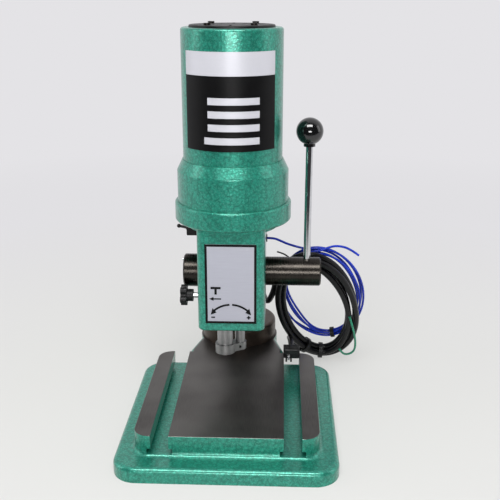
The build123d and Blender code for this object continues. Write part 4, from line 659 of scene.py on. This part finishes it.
# white studio paper: its own tone keeps it pale far off, and near the machine part of it takes the shadow;
# mirrored rays find it ending in front of the machine, where the dim studio begins
def paperFloor():
    material, tree, coords = startMaterial("studioPaper")
    path = addNode(tree, "ShaderNodeLightPath").outputs
    away = addNode(tree, "ShaderNodeVectorMath", {0: coords}, operation="LENGTH").outputs["Value"]
    fade = addNode(tree, "ShaderNodeMapRange", {"Value": away, "From Min": paper["fadeFrom"],
                                                "From Max": paper["fadeTo"]}).outputs[0]
    tone = addNode(tree, "ShaderNodeMix", {0: fade, 6: srgb(paper["near"]), 7: srgb(room["backdrop"])},
                   data_type="RGBA").outputs[2]
    depth = addNode(tree, "ShaderNodeSeparateXYZ", {0: coords}).outputs["Y"]
    ended = addNode(tree, "ShaderNodeMapRange", {"Value": depth, "From Min": paper["edge"],
                                                 "From Max": paper["dimBy"]}).outputs[0]
    dim = addNode(tree, "ShaderNodeMath", {0: ended, 1: path["Is Glossy Ray"]},
                  operation="MULTIPLY").outputs[0]
    tone = addNode(tree, "ShaderNodeMix", {0: dim, 6: tone, 7: srgb(room["studio"])},
                   data_type="RGBA").outputs[2]
    ownTone = addNode(tree, "ShaderNodeMapRange", {"Value": away, "From Min": paper["fadeFrom"],
                                                   "From Max": paper["litTo"], "To Min": 1 - paper["lit"],
                                                   "To Max": 1.0}).outputs[0]
    share = addNode(tree, "ShaderNodeMath", {0: seenRay(tree, path), 1: ownTone},
                    operation="MULTIPLY").outputs[0]
    both = addNode(tree, "ShaderNodeMixShader", {
        0: share, 1: addNode(tree, "ShaderNodeBsdfDiffuse", {"Color": tone}).outputs[0],
        2: addNode(tree, "ShaderNodeEmission", {"Color": tone, "Strength": 1.0}).outputs[0]})
    addNode(tree, "ShaderNodeOutputMaterial", {"Surface": both.outputs[0]})
    return material


setMaterial(floor, paperFloor())

# pale backdrop all round; metal and gloss see it behind the machine, and the dim studio in front of it
world = bpy.data.worlds.new("studio")
bpy.context.scene.world = world
world.use_nodes = True
sky = world.node_tree
sky.nodes.clear()
skyPath = addNode(sky, "ShaderNodeLightPath").outputs
direction = addNode(sky, "ShaderNodeTexCoord").outputs["Generated"]
heading = addNode(sky, "ShaderNodeSeparateXYZ", {0: direction}).outputs
inFront = addNode(sky, "ShaderNodeMapRange", {"Value": heading["Y"], "From Min": room["dimFrom"],
                                              "From Max": room["dimTo"]}).outputs[0]
dim = addNode(sky, "ShaderNodeMath", {0: inFront, 1: skyPath["Is Glossy Ray"]},
              operation="MULTIPLY").outputs[0]
tone = addNode(sky, "ShaderNodeMix", {0: dim, 6: srgb(room["backdrop"]), 7: srgb(room["studio"])},
               data_type="RGBA").outputs[2]
ambient = addNode(sky, "ShaderNodeBackground", {"Color": srgb(room["lamplight"]),
                                                "Strength": room["ambient"]}).outputs[0]
backdrop = addNode(sky, "ShaderNodeBackground", {"Color": tone, "Strength": 1.0}).outputs[0]
skyMix = addNode(sky, "ShaderNodeMixShader", {0: seenRay(sky, skyPath), 1: ambient,
                                              2: backdrop}).outputs[0]
addNode(sky, "ShaderNodeOutputWorld", {"Surface": skyMix})

# each softbox is (place, width, height, watts), and all of them face the middle of the machine
aim = (0, 0, 0.22)
softboxes = {"front": ((0.10, -1.9, 0.5), 0.8, 0.36, 14), "top": ((0.0, -0.95, 1.7), 1.3, 0.55, 28),
             "left": ((-1.9, -0.3, 0.9), 0.8, 1.4, 6), "right": ((1.9, -0.2, 0.9), 0.8, 1.4, 4)}
for name, (place, width, height, power) in softboxes.items():
    lampData = bpy.data.lights.new(name + "Softbox", "AREA")
    lampData.shape = "RECTANGLE"
    lampData.size = width
    lampData.size_y = height
    lampData.energy = power
    lamp = bpy.data.objects.new(name + "Softbox", lampData)
    lamp.location = place
    lamp.rotation_euler = (Vector(aim) - Vector(place)).to_track_quat("-Z", "Y").to_euler()
    bpy.context.collection.objects.link(lamp)
bpy.context.scene.view_settings.view_transform = "Standard"
print("floor, backdrop and lights are in")
